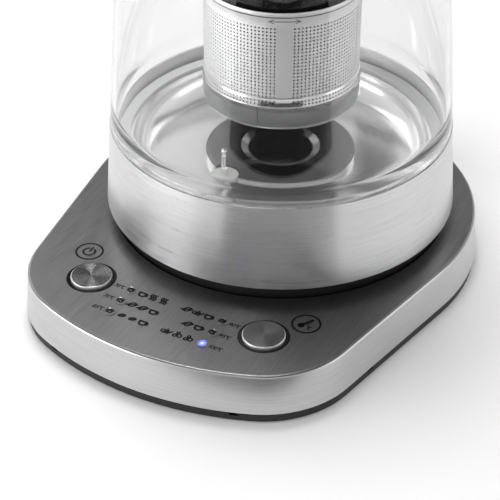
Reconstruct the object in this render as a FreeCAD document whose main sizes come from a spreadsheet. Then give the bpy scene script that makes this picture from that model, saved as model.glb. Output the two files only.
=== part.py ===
"""Electric tea maker: a glass jug with a drop-in strainer on a cordless heating base.

Frame: millimetres, +Z up, origin on the table below the jug's axis, control panel towards -Y,
handle towards +Y. Every sub-part is one object of the document, bound to the sheet Sizes.
"""
import FreeCAD, Part
import os
import re
import Sketcher

Vector = FreeCAD.Vector

# Driving dimensions, in millimetres unless the note says otherwise.
SIZES = {
    # plan of the base: one back arc, two corner arcs and one bowed front, tangent all round
    "plan_border": (12.9, "back arc, outside the opening for the jug"),
    "plan_corner_radius": (41.7, "front corner arcs"),
    "plan_corner_side": (33.6, "corner arc centre, distance from the middle plane"),
    "plan_corner_ahead": (2.4, "corner arc centre, in front of the opening's radius"),
    "plan_front_radius": (129.9, "bowed front edge"),
    # steel pan
    "pan_top": (23.3, "top face above the table"),
    "pan_bottom": (5.1, "lower edge of the skirt above the table"),
    "pan_wall": (0.8, "sheet thickness"),
    "pan_flare": (5.0, "skirt draft, degrees"),
    "pan_edge_radius": (1.2, "rolled top edge"),
    # black tray that closes the base from below
    "tray_bottom": (1.0, "underside above the table"),
    "tray_floor": (2.0, "floor thickness"),
    "tray_wall": (1.8, "wall thickness"),
    "tray_band_inset": (0.6, "visible band, behind the pan's lower edge"),
    "tray_gap": (0.5, "inner wall to the skirt"),
    "tray_shadow": (0.9, "open line between the band and the skirt"),
    "tray_rib": (1.5, "stiffening rib thickness"),
    "tray_rib_height": (3.0, "middle rib on the floor"),
    "middle_rib_short": (10.0, "middle rib, short of the ring rib at the back"),
    "pry_length": (3.6, "pry slot in the band"),
    "pry_height": (1.1, "pry slot in the band"),
    "pry_depth": (2.4, "pry slot in the band"),
    "pry_front_angle": (19.2, "front pry slots, degrees around the bow's centre"),
    "pry_side_ahead": (53.3, "side pry slots, along the straight side from the axis"),
    "boss_radius": (3.6, "screw boss"),
    "screw_front_out": (26.4, "front bosses, outwards from the corner arc's centre"),
    "screw_front_back": (13.8, "front bosses, back from the corner arc's centre"),
    "screw_back_inset": (10.1, "back bosses, inside the back arc"),
    "screw_back_angle": (32.5, "back bosses, degrees from the X axis"),
    # moulded frame under the pan
    "frame_thickness": (3.8, "panel thickness below the pan"),
    "frame_rib_depth": (2.5, "ribs below the panel"),
    "rib_ring_radius": (58.0, "ring rib"),
    "spoke_count": (6, "radial ribs"),
    "frame_inset": (4.0, "edge behind the pan's plan"),
    "seat_under": (2.4, "opening for the jug, inside the collar's lower edge"),
    "seat_depth": (2.6, "seat below the pan's top"),
    "seat_lip": (0.4, "frame behind the pan's opening"),
    "spoke_gap": (2.0, "radial ribs to the connector's flange"),
    # connector tower of the cordless base
    "tower_radius": (14.5, "outer"),
    "tower_gap": (0.2, "tower in its hole"),
    "tower_chamfer": (1.0, "top edge, inwards; twice as tall"),
    "tower_height": (14.0, "above the seat"),
    "tower_flange": (24.0, "flange radius under the seat"),
    "tower_flange_thickness": (1.8, "flange"),
    "ring_slot_radius": (9.9, "middle of the ring slot"),
    "ring_slot_width": (3.6, "ring slot"),
    "tower_bore": (3.6, "bore radius for the pin"),
    "tower_floor": (3.0, "bottom of slot and bore, above the seat"),
    "contact_wall": (0.4, "sheet metal of the contacts"),
    "contact_gap": (0.05, "contacts in their slots"),
    "contact_drop": (1.0, "contacts below the tower's top"),
    # jug-side connector
    "socket_gap": (1.2, "cup around the tower"),
    "socket_wall": (6.0, "cup wall"),
    "socket_roof": (2.0, "cup roof"),
    "socket_head": (1.8, "space over the tower"),
    "socket_flange": (30.0, "retaining flange radius"),
    "socket_flange_thickness": (2.0, "retaining flange"),
    "socket_flange_gap": (0.2, "retaining flange above the cover's plate"),
    "pin_radius": (2.6, "central pin"),
    "pin_end_gap": (1.2, "pin and blade above the tower's floor"),
    "pin_point_height": (1.5, "pin's tapered end"),
    "pin_point_width": (1.2, "pin's tapered end"),
    "blade_wall": (1.2, "ring blade"),
    # two push buttons
    "button_side": (41.5, "from the middle plane"),
    "button_ahead": (16.6, "in front of the opening's radius"),
    "cap_radius": (8.9, "steel cap"),
    "cap_rise": (1.4, "above the pan"),
    "cap_thickness": (2.6, "cap"),
    "cap_edge_radius": (0.6, "rolled edge"),
    "cap_dish": (0.25, "hollow in the top"),
    "cap_rim": (1.1, "flat rim of the cap"),
    "cap_gap": (0.3, "cap to bezel"),
    "bezel_wall": (1.45, "ring around the cap"),
    "bezel_gap": (0.1, "bezel in its hole"),
    "bezel_flange": (1.9, "flange width behind the frame"),
    "bezel_flange_thickness": (1.5, "flange"),
    "button_travel": (1.2, "stroke"),
    "stem_flange": (1.2, "flange thickness"),
    "stem_flange_gap": (0.2, "flange below the bezel"),
    "stem_flange_reach": (1.0, "flange beyond the bezel's bore"),
    "stem_tip_radius": (2.0, "plunger"),
    "stem_rest": (0.1, "plunger above the key when pressed home"),
    "dome_gap": (0.1, "return dome under the stem"),
    # control board and what stands on it
    "board_bottom": (8.0, "underside above the table"),
    "board_thickness": (1.6, "board"),
    "board_side": (0.1, "board beyond the return domes"),
    "board_ahead": (2.1, "board in front of the last lamp row"),
    "board_behind": (9.5, "board behind the first lamp row"),
    "post_radius": (2.6, "board post"),
    "post_side_inset": (5.0, "posts inside the board's sides"),
    "post_end_inset": (4.0, "posts inside the board's ends"),
    "switch_side": (6.0, "key switch, square"),
    "switch_height": (3.5, "key switch body"),
    "switch_key_radius": (1.75, "key"),
    "switch_key_height": (0.5, "key"),
    "dome_wall": (0.8, "silicone return dome"),
    "dome_base_radius": (7.4, "dome, outer"),
    "dome_top_radius": (4.2, "dome, outer"),
    # six indicators, two columns of three
    "lamp_side": (22.0, "from the middle plane"),
    "lamp_ahead": (16.1, "first row, in front of the opening's radius"),
    "lamp_pitch": (8.2, "row to row"),
    "lamp_radius": (1.9, "light guide"),
    "lamp_gap": (0.1, "light guide in its hole"),
    "lamp_recess": (0.4, "below the pan's top"),
    "lamp_ring_width": (0.8, "embossed ring"),
    "lamp_ring_rise": (0.25, "embossed ring"),
    "lamp_foot_radius": (2.7, "light guide foot"),
    "lamp_foot_height": (1.2, "light guide foot"),
    "lamp_foot_gap": (0.2, "light guide above its chip"),
    "chip_side": (3.0, "lamp chip, square"),
    "chip_height": (1.0, "lamp chip"),
    # feet, inlet and terminal block
    "foot_radius": (7.0, "rubber foot"),
    "foot_recess": (1.0, "depth in the tray"),
    "foot_gap": (0.2, "foot in its recess"),
    "foot_chamfer": (0.6, "foot's lower edge"),
    "foot_front_side": (40.0, "front feet"),
    "foot_inset": (20.8, "middle and back feet, inside the back arc"),
    "foot_mid_angle": (12.0, "middle feet, degrees from the X axis"),
    "inlet_height": (12.0, "cord inlet above the table"),
    "inlet_bore": (3.6, "bore radius"),
    "inlet_radius": (6.2, "bush, outer"),
    "inlet_flange": (8.0, "outer collar radius"),
    "inlet_length": (14.0, "bush"),
    "inlet_inset": (12.0, "inner end of the bush, inside the back arc"),
    "inlet_collar": (2.2, "outer collar thickness"),
    "inlet_gap": (0.1, "bush in its hole"),
    "terminal_inset": (18.3, "back face inside the back arc"),
    "terminal_width": (24.0, "terminal block"),
    "terminal_depth": (14.0, "terminal block"),
    "terminal_height": (10.0, "terminal block"),
    "terminal_well_radius": (2.2, "screw wells"),
    "terminal_well_depth": (5.0, "screw wells"),
    # steel collar of the jug
    "collar_lift": (8.9, "lower edge above the jug's underside"),
    "collar_height": (38.0, "upper edge above the lower edge"),
    "collar_bottom_radius": (77.8, "outer"),
    "collar_taper": (2.8, "upper edge inside the lower edge"),
    "collar_wall": (0.8, "sheet thickness"),
    "collar_gap": (0.2, "turned-in lower edge to the cover"),
    # black cover under the jug
    "jug_gap": (0.2, "cover above the seat"),
    "cover_inset": (1.6, "inside the collar's lower edge"),
    "cover_band": (1.4, "upright band below the collar"),
    "cover_chamfer": (3.0, "chamfer width"),
    "cover_wall": (2.0, "wall"),
    "cover_ring_width": (8.0, "standing ring"),
    "cover_ring_slope": (1.2, "recess, narrower at its top"),
    "cover_ring_foot": (1.4, "inner face of the standing ring, bottom"),
    "cover_ring_root": (0.4, "inner face of the standing ring, top"),
    "cover_chamfer_inset": (1.2, "inner chamfer, inside the outer one"),
    "cover_chamfer_rise": (0.6, "inner chamfer, above the outer one"),
    "cover_cup_gap": (0.3, "plate to the socket cup"),
    "cover_recess": (3.7, "hollow inside the ring"),
    "cover_tuck": (6.2, "upper edge above the collar's lower edge"),
    # heating floor
    "floor_lift": (27.6, "flat floor above the jug's underside"),
    "floor_wall_width": (6.5, "dished wall, seen from above"),
    "floor_rim_inset": (7.0, "top of the dished wall, inside the glass"),
    "floor_rim_rise": (11.5, "dished wall"),
    "floor_wall_radius": (13.0, "bow of the dished wall"),
    "floor_sheet": (0.8, "sheet thickness"),
    "floor_fold_out": (0.7, "underside of the dished wall, outwards at its top"),
    "floor_fold_in": (0.2, "underside of the dished wall, outwards at its foot"),
    "disc_radius": (33.15, "raised disc"),
    "disc_rise": (4.0, "raised disc"),
    "disc_edge_radius": (1.2, "rolled edge"),
    "dimple_radius": (14.4, "flat of the dimple"),
    "dimple_slope": (3.2, "width of its edge"),
    "dimple_depth": (1.2, "dimple"),
    "seal_thickness": (1.2, "silicone ring on the floor's flange"),
    "seal_skirt": (6.0, "skirt below the flange"),
    "seal_inset": (1.5, "ring, outside the dished wall"),
    "seal_fit": (0.1, "seal to floor and glass"),
    "spreader_thickness": (2.4, "aluminium disc under the floor"),
    "spreader_border": (1.8, "aluminium disc outside the heater tube"),
    "element_tube_radius": (3.2, "heater tube"),
    "element_gap_angle": (50.0, "open part of the heater ring, degrees"),
    "element_pin_length": (10.0, "cold ends"),
    "element_pin_radius": (1.8, "cold ends"),
    "element_gap": (0.5, "cold ends to the socket cup"),
    # temperature probe
    "probe_side": (10.5, "towards -X"),
    "probe_gap": (0.29, "grommet's lip to the aluminium disc"),
    "probe_pin_radius": (1.5, "pin, thick part"),
    "probe_tip_radius": (1.1, "pin, thin part"),
    "probe_pin_height": (13.0, "pin top above the floor"),
    "probe_tail": (5.0, "pin below the floor"),
    "probe_tip_height": (0.6, "tapered tip"),
    "probe_tip_width": (0.44, "tapered tip"),
    "probe_shoulder": (3.4, "thick part above the grommet"),
    "probe_shoulder_height": (0.6, "step between thick and thin part"),
    "grommet_radius": (6.2, "silicone grommet"),
    "grommet_height": (3.0, "above the floor"),
    "grommet_neck": (3.2, "neck radius through the floor"),
    "grommet_gap": (0.5, "room around the grommet"),
    "grommet_fit": (0.05, "grommet on the pin and in the floor"),
    "grommet_edge_radius": (0.5, "upper edge"),
    "grommet_lip": (1.0, "lip below the floor, outside the neck"),
    "grommet_lip_height": (1.6, "lip below the floor"),
    # glass
    "glass_foot_lift": (7.5, "lower edge above the flat floor"),
    "glass_neck_gap": (0.3, "ground neck to the collar"),
    "glass_neck_wall": (1.9, "ground neck, wall"),
    "glass_base_inset": (0.25, "foot of the visible glass, inside the collar's edge"),
    "glass_shoulder_gap": (0.4, "start of the visible glass above the collar"),
    "glass_shoulder_height": (0.3, "shoulder's slope"),
    "glass_ring_reach": (0.9, "moulded ring inside the glass, inwards"),
    "glass_ring_height": (4.2, "moulded ring above the shoulder"),
    "glass_ring_blend": (4.0, "from the ring to the plain wall"),
    "glass_ring_lift": (0.4, "ring's lower edge above the shoulder"),
    "glass_ring_root": (0.5, "start of the ring's underside, below the shoulder"),
    "glass_rise": (136.8, "upper edge above the shoulder"),
    "glass_top_radius": (61.8, "outer"),
    "glass_bow_radius": (1800.0, "bow of the wall seen from the side"),
    "glass_wall": (2.4, "wall"),
    # steel band, pouring rim and handle
    "band_height": (17.0, "band below the glass's upper edge"),
    "band_gap": (0.3, "band to glass"),
    "band_wall": (0.8, "sheet thickness"),
    "band_drop": (0.2, "band's upper edge below the glass's"),
    "bracket_width": (14.0, "handle bracket on the band"),
    "bracket_reach": (10.0, "handle bracket"),
    "bracket_root": (0.4, "bracket's start in the band's wall"),
    "bracket_margin": (5.0, "bracket inside the arm, above and below"),
    "bracket_gap": (0.1, "bracket in its pocket"),
    "rim_mouth_inset": (2.4, "mouth inside the glass"),
    "rim_skirt_wall": (2.0, "skirt inside the glass"),
    "rim_skirt_depth": (8.0, "skirt inside the glass"),
    "rim_gap": (0.2, "rim over the glass"),
    "rim_flange": (2.8, "flange thickness"),
    "rim_overhang": (3.0, "outer edge outside the glass"),
    "rim_wall": (2.0, "outer wall"),
    "rim_height": (6.5, "outer wall above the flange"),
    "rim_edge_radius": (0.8, "upper edge"),
    "spout_reach": (12.2, "lip in front of the rim"),
    "spout_root_width": (40.0, "spout"),
    "spout_tip_width": (13.0, "spout"),
    "spout_root_drop": (13.0, "spout below the rim's top"),
    "spout_tip_drop": (4.5, "spout below the rim's top"),
    "spout_wall": (1.8, "spout wall"),
    "spout_keel": (0.55, "bottom's share of the spout's width"),
    "spout_root_inset": (0.8, "spout's start inside the rim's wall"),
    "spout_band_gap": (1.0, "spout's underside to the band"),
    "channel_root_inset": (4.0, "channel's start inside the rim's wall"),
    "channel_over": (0.5, "channel past the lip"),
    "channel_rise": (1.0, "channel above the rim's top"),
    "handle_reach": (65.8, "outermost face behind the glass"),
    "handle_thickness": (15.0, "grip, seen from the side"),
    "handle_width": (25.0, "grip"),
    "handle_length": (115.0, "free end below the top face"),
    "handle_rise": (2.0, "top face above the glass"),
    "handle_arm": (21.0, "arm height at the band"),
    "handle_bend": (30.0, "outer bend"),
    "handle_inner_bend": (15.0, "inner bend"),
    "handle_lean": (7.0, "free end, nearer the jug than the bend"),
    "handle_end": (7.0, "height of the rounded end"),
    "handle_end_step": (1.2, "inner side of the rounded end, above the outer one"),
    "handle_root": (4.0, "arm's start inside the band, before it is trimmed"),
    "handle_rim_gap": (1.0, "arm below the pouring rim"),
    "handle_end_radius": (7.6, "rounded end"),
    "handle_edge_radius": (4.5, "rounded edges"),
    "handle_gap": (0.3, "arm to band"),
    "insert_width": (13.0, "steel strip in the grip"),
    "insert_depth": (1.0, "steel strip"),
    "insert_gap": (0.05, "steel strip in its groove"),
    "insert_rise": (12.0, "steel strip above the free end"),
    "insert_drop": (35.0, "steel strip below the top face"),
    # lid
    "lid_gap": (0.3, "lid inside the rim"),
    "lid_edge_height": (6.0, "edge"),
    "lid_height": (11.0, "flat top above the rim's flange"),
    "lid_slope_width": (8.5, "sloping edge around the flat top"),
    "lid_wall": (2.0, "wall"),
    "lid_fold": (1.0, "inner face's bends, inside and below the outer ones"),
    "lid_inner_gap": (0.2, "inner part in the cover"),
    "lid_plug_depth": (10.0, "plug in the mouth"),
    "lid_plug_gap": (1.6, "plug to the mouth, room for the seal"),
    "lid_trim_gap": (4.5, "steel ring on top, outside the filler hole"),
    "lid_trim_inset": (2.0, "steel ring on top, inside the flat top"),
    "lid_trim_thickness": (0.8, "steel ring on top"),
    "lid_seal_height": (3.0, "silicone lip ring"),
    "lid_seal_lift": (2.0, "lip ring above the plug's lower edge"),
    "lid_seal_slope": (1.0, "lip ring's sloping underside"),
    "lid_seal_fit": (0.05, "lip ring on the plug"),
    "lid_seal_gap": (0.3, "seal to mouth"),
    "filler_radius": (26.0, "filler hole"),
    "filler_gap": (0.3, "cap in its hole"),
    "filler_ledge": (2.0, "ledge width"),
    "filler_ledge_drop": (5.0, "ledge below the top"),
    "filler_seat_gap": (0.2, "cap above the ledge"),
    "filler_proud": (0.6, "cap above the lid"),
    "filler_seal_reach": (3.0, "seal's inner edge, inside the hole"),
    "filler_seal_gap": (0.4, "seal to the hole"),
    "filler_seal_height": (2.6, "seal"),
    "knob_radius": (12.0, "knob"),
    "knob_waist": (8.5, "knob"),
    "knob_height": (16.0, "above the lid"),
    "knob_edge_radius": (1.2, "upper edge"),
    "knob_side_height": (4.0, "upright side, from the top"),
    "knob_waist_drop": (10.0, "waist, from the top"),
    "knob_waist_rise": (2.6, "waist above the lid"),
    "knob_trim_radius": (9.5, "steel button in the knob"),
    "knob_trim_thickness": (1.0, "steel button in the knob"),
    "knob_trim_gap": (0.1, "steel button in its recess"),
    # strainer
    "holder_gap": (1.6, "black tube under the lid, inside the basket"),
    "holder_wall": (1.8, "tube wall"),
    "strainer_clear": (18.5, "strainer's underside above the probe"),
    "basket_radius": (33.3, "perforated wall, outer"),
    "basket_wall": (0.5, "sheet thickness"),
    "basket_lap": (13.0, "rim above the tube's lower edge"),
    "basket_bead": (0.35, "rolled rim, half thickness added outwards"),
    "basket_bead_height": (1.2, "rolled rim"),
    "basket_bead_slope": (0.4, "below the rolled rim"),
    "foot_band_top": (16.5, "top of the polished foot above the underside"),
    "foot_band_shoulder": (11.5, "shoulder above the underside"),
    "foot_band_proud": (0.8, "polished foot outside the wall"),
    "basket_height": (54.0, "rim to underside"),
    "foot_edge_radius": (1.6, "lower edge of the polished foot"),
    "foot_sheet": (0.6, "sheet thickness"),
    "foot_fit": (0.05, "polished foot on the basket"),
    "foot_band_edge": (0.15, "polished foot's upper edge"),
    "foot_hole_radius": (29.0, "open part of the polished foot's underside"),
    "lug_rise": (5.0, "holder lug above the tube's lower edge"),
    "lug_height": (2.0, "lug"),
    "lug_reach": (1.4, "lug beyond the tube"),
    "lug_angle": (22.0, "lug, degrees"),
    "lug_root": (0.5, "lug's start inside the tube's wall"),
    "tab_gap": (0.2, "basket tab above its lug"),
    "tab_height": (1.4, "basket tab"),
    "tab_clear": (0.3, "basket tab to the tube"),
    "lug_count": (3, "lugs and tabs around"),
    "cut_margin": (10.0, "trimming cuts run past what they trim"),
}

# Values that follow from the sizes above; each is an expression of them.
DERIVED = {
    "plan_back_radius": "seat_radius + plan_border",
    "plan_corner_front": "seat_radius + plan_corner_ahead",
    "screw_ring": "plan_back_radius - screw_back_inset",
    "seat_radius": "collar_bottom_radius - seat_under",
    "button_front": "seat_radius + button_ahead",
    "lamp_front": "seat_radius + lamp_ahead",
    "board_half_width": "button_side + dome_base_radius + board_side",
    "board_front": "lamp_front + 2 * lamp_pitch + board_ahead",
    "board_back": "lamp_front - board_behind",
    "foot_ring": "plan_back_radius - foot_inset",
    "terminal_back": "plan_back_radius - terminal_inset",
    "inlet_start": "plan_back_radius - inlet_inset",
    "collar_bottom": "jug_bottom + collar_lift",
    "collar_top": "collar_bottom + collar_height",
    "collar_top_radius": "collar_bottom_radius - collar_taper",
    "cover_radius": "collar_bottom_radius - cover_inset",
    "cover_edge": "collar_bottom - cover_band",
    "cover_top": "collar_bottom + cover_tuck",
    "floor_top": "jug_bottom + floor_lift",
    "floor_rim_radius": "glass_neck_inner - floor_rim_inset",
    "floor_flat_radius": "floor_rim_radius - floor_wall_width",
    "glass_foot": "floor_top + glass_foot_lift",
    "glass_neck_radius": "collar_top_radius - collar_wall - glass_neck_gap",
    "glass_base_radius": "collar_top_radius - glass_base_inset",
    "glass_shoulder": "collar_top + glass_shoulder_gap",
    "glass_ring_inner": "glass_neck_inner - glass_ring_reach",
    "glass_ring_top": "glass_shoulder + glass_ring_height",
    "glass_ring_fade": "(glass_taper - glass_height / (2 * glass_bow_radius))"
                       " * (glass_ring_height + glass_ring_blend)",
    "glass_top": "glass_shoulder + glass_rise",
    "band_bottom": "glass_top - band_height",
    "band_top": "glass_top - band_drop",
    "rim_inner_radius": "glass_top_radius - glass_wall - rim_mouth_inset",
    "skirt_radius": "rim_inner_radius + rim_skirt_wall",
    "rim_radius": "glass_top_radius + rim_overhang",
    "rim_seat": "rim_radius - rim_wall",
    "spout_lip": "rim_radius + spout_reach",
    "handle_back": "glass_top_radius + handle_reach",
    "handle_top": "glass_top + handle_rise",
    "handle_bottom": "handle_top - handle_length",
    "arm_bottom": "handle_top - handle_arm",
    "bracket_low": "handle_top - handle_arm + bracket_margin",
    "bracket_high": "handle_top - bracket_margin",
    "insert_bottom": "handle_bottom + insert_rise",
    "insert_top": "handle_top - insert_drop",
    "lid_top": "flange_top + lid_height",
    "lid_flat_radius": "lid_radius - lid_slope_width",
    "lid_trim_inner": "filler_radius + lid_trim_gap",
    "lid_trim_outer": "lid_flat_radius - lid_trim_inset",
    "holder_radius": "basket_inner - holder_gap",
    "holder_bottom": "basket_top - basket_lap",
    "basket_top": "basket_bottom + basket_height",
    "basket_bottom": "probe_top + strainer_clear",
    "basket_floor": "basket_bottom + foot_sheet",
    "foot_top": "basket_bottom + foot_band_top",
    "foot_radius_outer": "basket_radius + foot_band_proud",
    "lug_top": "holder_bottom + lug_rise",
    "plan_corner_reach": "sqrt(plan_corner_side ^ 2 + plan_corner_front ^ 2)",
    "plan_side_angle": "acos((plan_back_radius - plan_corner_radius) / plan_corner_reach)"
                       " - atan(plan_corner_front / plan_corner_side)",
    "plan_bow_centre": "sqrt((plan_front_radius - plan_corner_radius) ^ 2"
                       " - plan_corner_side ^ 2) - plan_corner_front",
    "band_out": "skirt_out - tray_band_inset",
    "seat_top": "pan_top - seat_depth",
    "frame_top": "pan_top - pan_wall",
    "frame_bottom": "frame_top - frame_thickness",
    "skirt_out": "(pan_top - pan_bottom) * tan(pan_flare * 1deg)",
    "tray_top": "frame_bottom",
    "tray_band_top": "pan_bottom - tray_shadow",
    "tray_inner": "tray_bottom + tray_floor",
    "jug_bottom": "seat_top + jug_gap",
    "tower_top": "seat_top + tower_height",
    "tower_low": "seat_top + tower_floor",
    "contact_top": "tower_top - contact_drop",
    "ring_slot_inner": "ring_slot_radius - ring_slot_width / 2",
    "ring_slot_outer": "ring_slot_radius + ring_slot_width / 2",
    "cup_inner": "tower_radius + socket_gap",
    "cup_outer": "cup_inner + socket_wall",
    "cup_roof": "tower_top + socket_head",
    "cup_top": "cup_roof + socket_roof",
    "pin_end": "tower_low + pin_end_gap",
    "recess_top": "jug_bottom + cover_recess",
    "tower_foot": "frame_bottom - tower_flange_thickness",
    "cover_plate": "recess_top + cover_wall",
    "cup_lip": "cover_plate + socket_flange_gap",
    "cover_foot": "cover_radius - cover_chamfer",
    "ring_inner": "cover_foot - cover_ring_width",
    "bezel_inner": "cap_radius + cap_gap",
    "bezel_outer": "bezel_inner + bezel_wall",
    "bezel_bottom": "frame_bottom - bezel_flange_thickness",
    "cap_top": "pan_top + cap_rise",
    "cap_bottom": "cap_top - cap_thickness",
    "stem_flange_top": "bezel_bottom - stem_flange_gap",
    "stem_flange_bottom": "stem_flange_top - stem_flange",
    "dome_top": "stem_flange_bottom - dome_gap",
    "board_top": "board_bottom + board_thickness",
    "switch_top": "board_top + switch_height",
    "key_top": "switch_top + switch_key_height",
    "stem_tip": "key_top + button_travel + stem_rest",
    "chip_top": "board_top + chip_height",
    "lamp_foot": "chip_top + lamp_foot_gap",
    "lamp_top": "pan_top - lamp_recess",
    "lamp_hole": "lamp_radius + lamp_gap",
    "dish_top": "floor_top + floor_rim_rise",
    "probe_top": "floor_top + probe_pin_height",
    "probe_ring": "spreader_radius + probe_gap + grommet_neck + grommet_lip",
    "probe_front": "sqrt(probe_ring ^ 2 - probe_side ^ 2)",
    "disc_top": "floor_top + disc_rise",
    "plate_radius": "glass_neck_inner - seal_thickness - seal_fit",
    "seal_radius": "glass_neck_inner - seal_fit",
    "glass_neck_inner": "glass_neck_radius - glass_neck_wall",
    "floor_under": "floor_top - floor_sheet",
    "element_ring_radius": "cup_outer + element_gap + element_pin_radius",
    "spreader_bottom": "floor_under - spreader_thickness",
    "spreader_radius": "element_ring_radius + element_tube_radius + spreader_border",
    "element_middle": "spreader_bottom - element_tube_radius",
    "glass_height": "glass_top - glass_shoulder - glass_shoulder_height",
    "glass_taper": "(glass_base_radius - glass_top_radius) / glass_height",
    "band_bow": "band_height * (glass_height - band_height) / (2 * glass_bow_radius)",
    "band_low_inner": "glass_top_radius + glass_taper * band_height + band_bow + band_gap",
    "band_top_inner": "glass_top_radius + band_gap",
    "glass_cut_radius": "band_top_inner + band_wall + spout_band_gap",
    "flange_bottom": "glass_top + rim_gap",
    "flange_top": "flange_bottom + rim_flange",
    "rim_top": "flange_top + rim_height",
    "lid_radius": "rim_seat - lid_gap",
    "lid_bottom": "flange_top + lid_gap",
    "lid_edge": "lid_bottom + lid_edge_height",
    "lid_skin": "lid_radius - lid_wall",
    "plug_radius": "rim_inner_radius - lid_plug_gap",
    "plug_bottom": "flange_top - lid_plug_depth",
    "ledge_top": "lid_top - filler_ledge_drop",
    "ledge_radius": "filler_radius - filler_ledge",
    "ledge_bottom": "ledge_top - lid_wall",
    "filler_seat": "ledge_top + filler_seat_gap",
    "filler_top": "lid_top + filler_proud",
    "knob_top": "lid_top + knob_height",
    "knob_recess": "knob_top - knob_trim_thickness",
    "holder_inner": "holder_radius - holder_wall",
    "basket_inner": "basket_radius - basket_wall",
    "tab_bottom": "lug_top + tab_gap",
}

DOC = FreeCAD.newDocument("TeaMaker")
SHEET = DOC.addObject("Spreadsheet::Sheet", "Sizes")
PARTS = []


def fill_sheet():
    for row, (alias, (value, note)) in enumerate(SIZES.items(), start=1):
        SHEET.set("A%d" % row, alias.replace("_", " "))
        SHEET.set("B%d" % row, str(value))
        SHEET.set("C%d" % row, note)
        SHEET.setAlias("B%d" % row, alias)
    DOC.recompute()


def bound(text):
    """The expression in FreeCAD's terms: derived names spelt out, sheet names as Sizes.name."""

    def swap(match):
        word = match.group(0)
        if word in DERIVED:
            return "(" + bound(DERIVED[word]) + ")"
        return "Sizes." + word if word in SIZES else word

    return re.sub(r"[a-z][a-z_]+", swap, text)


def number(text):
    return float(SHEET.evalExpression(bound(text)))


# ---- sketches ---------------------------------------------------------------------------------

def new_body(label):
    body = DOC.addObject("PartDesign::Body", label)
    body.Label = label
    PARTS.append(body)
    return body


def new_sketch(body, name, role="XY_Plane", height=None):
    sketch = body.newObject("Sketcher::SketchObject", body.Label + "_" + name)
    plane = next(item for item in body.Origin.OriginFeatures if item.Role == role)
    sketch.AttachmentSupport = (plane, [""])
    sketch.MapMode = "FlatFace"
    if height:
        sketch.setExpression("AttachmentOffset.Base.z", bound(height))
    return sketch


def pin_point(sketch, geometry, spot, place):
    """Ties one point of the sketch to its x and y expressions."""
    for kind, text, axis in (("DistanceX", place[0], -2), ("DistanceY", place[1], -1)):
        if text == "0":
            sketch.addConstraint(Sketcher.Constraint("PointOnObject", geometry, spot, axis))
            continue
        value = number(text)
        index = sketch.addConstraint(Sketcher.Constraint(kind, -1, 1, geometry, spot, value))
        sketch.setExpression("Constraints[%d]" % index, bound(text))


def arc_between(start, end, radius):
    """Arc from start to end; a positive radius puts the centre on the left of that way."""
    middle = (start + end) * 0.5
    chord = end - start
    left = Vector(-chord.y, chord.x, 0).normalize()
    rise = (radius * radius - chord.Length ** 2 / 4) ** 0.5
    centre = middle + left * (rise if radius > 0 else -rise)
    first, last = (start, end) if radius > 0 else (end, start)
    circle = Part.Circle(centre, Vector(0, 0, 1), abs(radius))
    return Part.ArcOfCircle(circle, circle.parameter(first), circle.parameter(last))


def add_profile(sketch, points):
    """Closed outline. A point is (x, y), or (x, y, radius) where the side after it is an arc."""
    spots = [Vector(number(point[0]), number(point[1]), 0) for point in points]
    ends = []
    for index, point in enumerate(points):
        start, end = spots[index], spots[(index + 1) % len(points)]
        if len(point) == 3:
            radius = number(point[2])
            geometry = sketch.addGeometry(arc_between(start, end, radius))
            index = sketch.addConstraint(Sketcher.Constraint("Radius", geometry, abs(radius)))
            sketch.setExpression("Constraints[%d]" % index, bound("abs(%s)" % point[2]))
            ends.append((geometry, 1, 2) if radius > 0 else (geometry, 2, 1))
        else:
            geometry = sketch.addGeometry(Part.LineSegment(start, end))
            ends.append((geometry, 1, 2))
    for index, (geometry, first, last) in enumerate(ends):
        after = ends[(index + 1) % len(ends)]
        sketch.addConstraint(Sketcher.Constraint("Coincident", geometry, last, after[0], after[1]))
        pin_point(sketch, geometry, first, points[index])


def add_circle(sketch, radius, place=("0", "0")):
    centre = Vector(number(place[0]), number(place[1]), 0)
    geometry = sketch.addGeometry(Part.Circle(centre, Vector(0, 0, 1), number(radius)))
    index = sketch.addConstraint(Sketcher.Constraint("Radius", geometry, number(radius)))
    sketch.setExpression("Constraints[%d]" % index, bound(radius))
    pin_point(sketch, geometry, 3, place)


def add_circles(sketch, radius, places):
    for place in places:
        add_circle(sketch, radius, place)


def add_box(sketch, left, right, low, high):
    add_profile(sketch, [(left, low), (right, low), (right, high), (left, high)])


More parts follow.
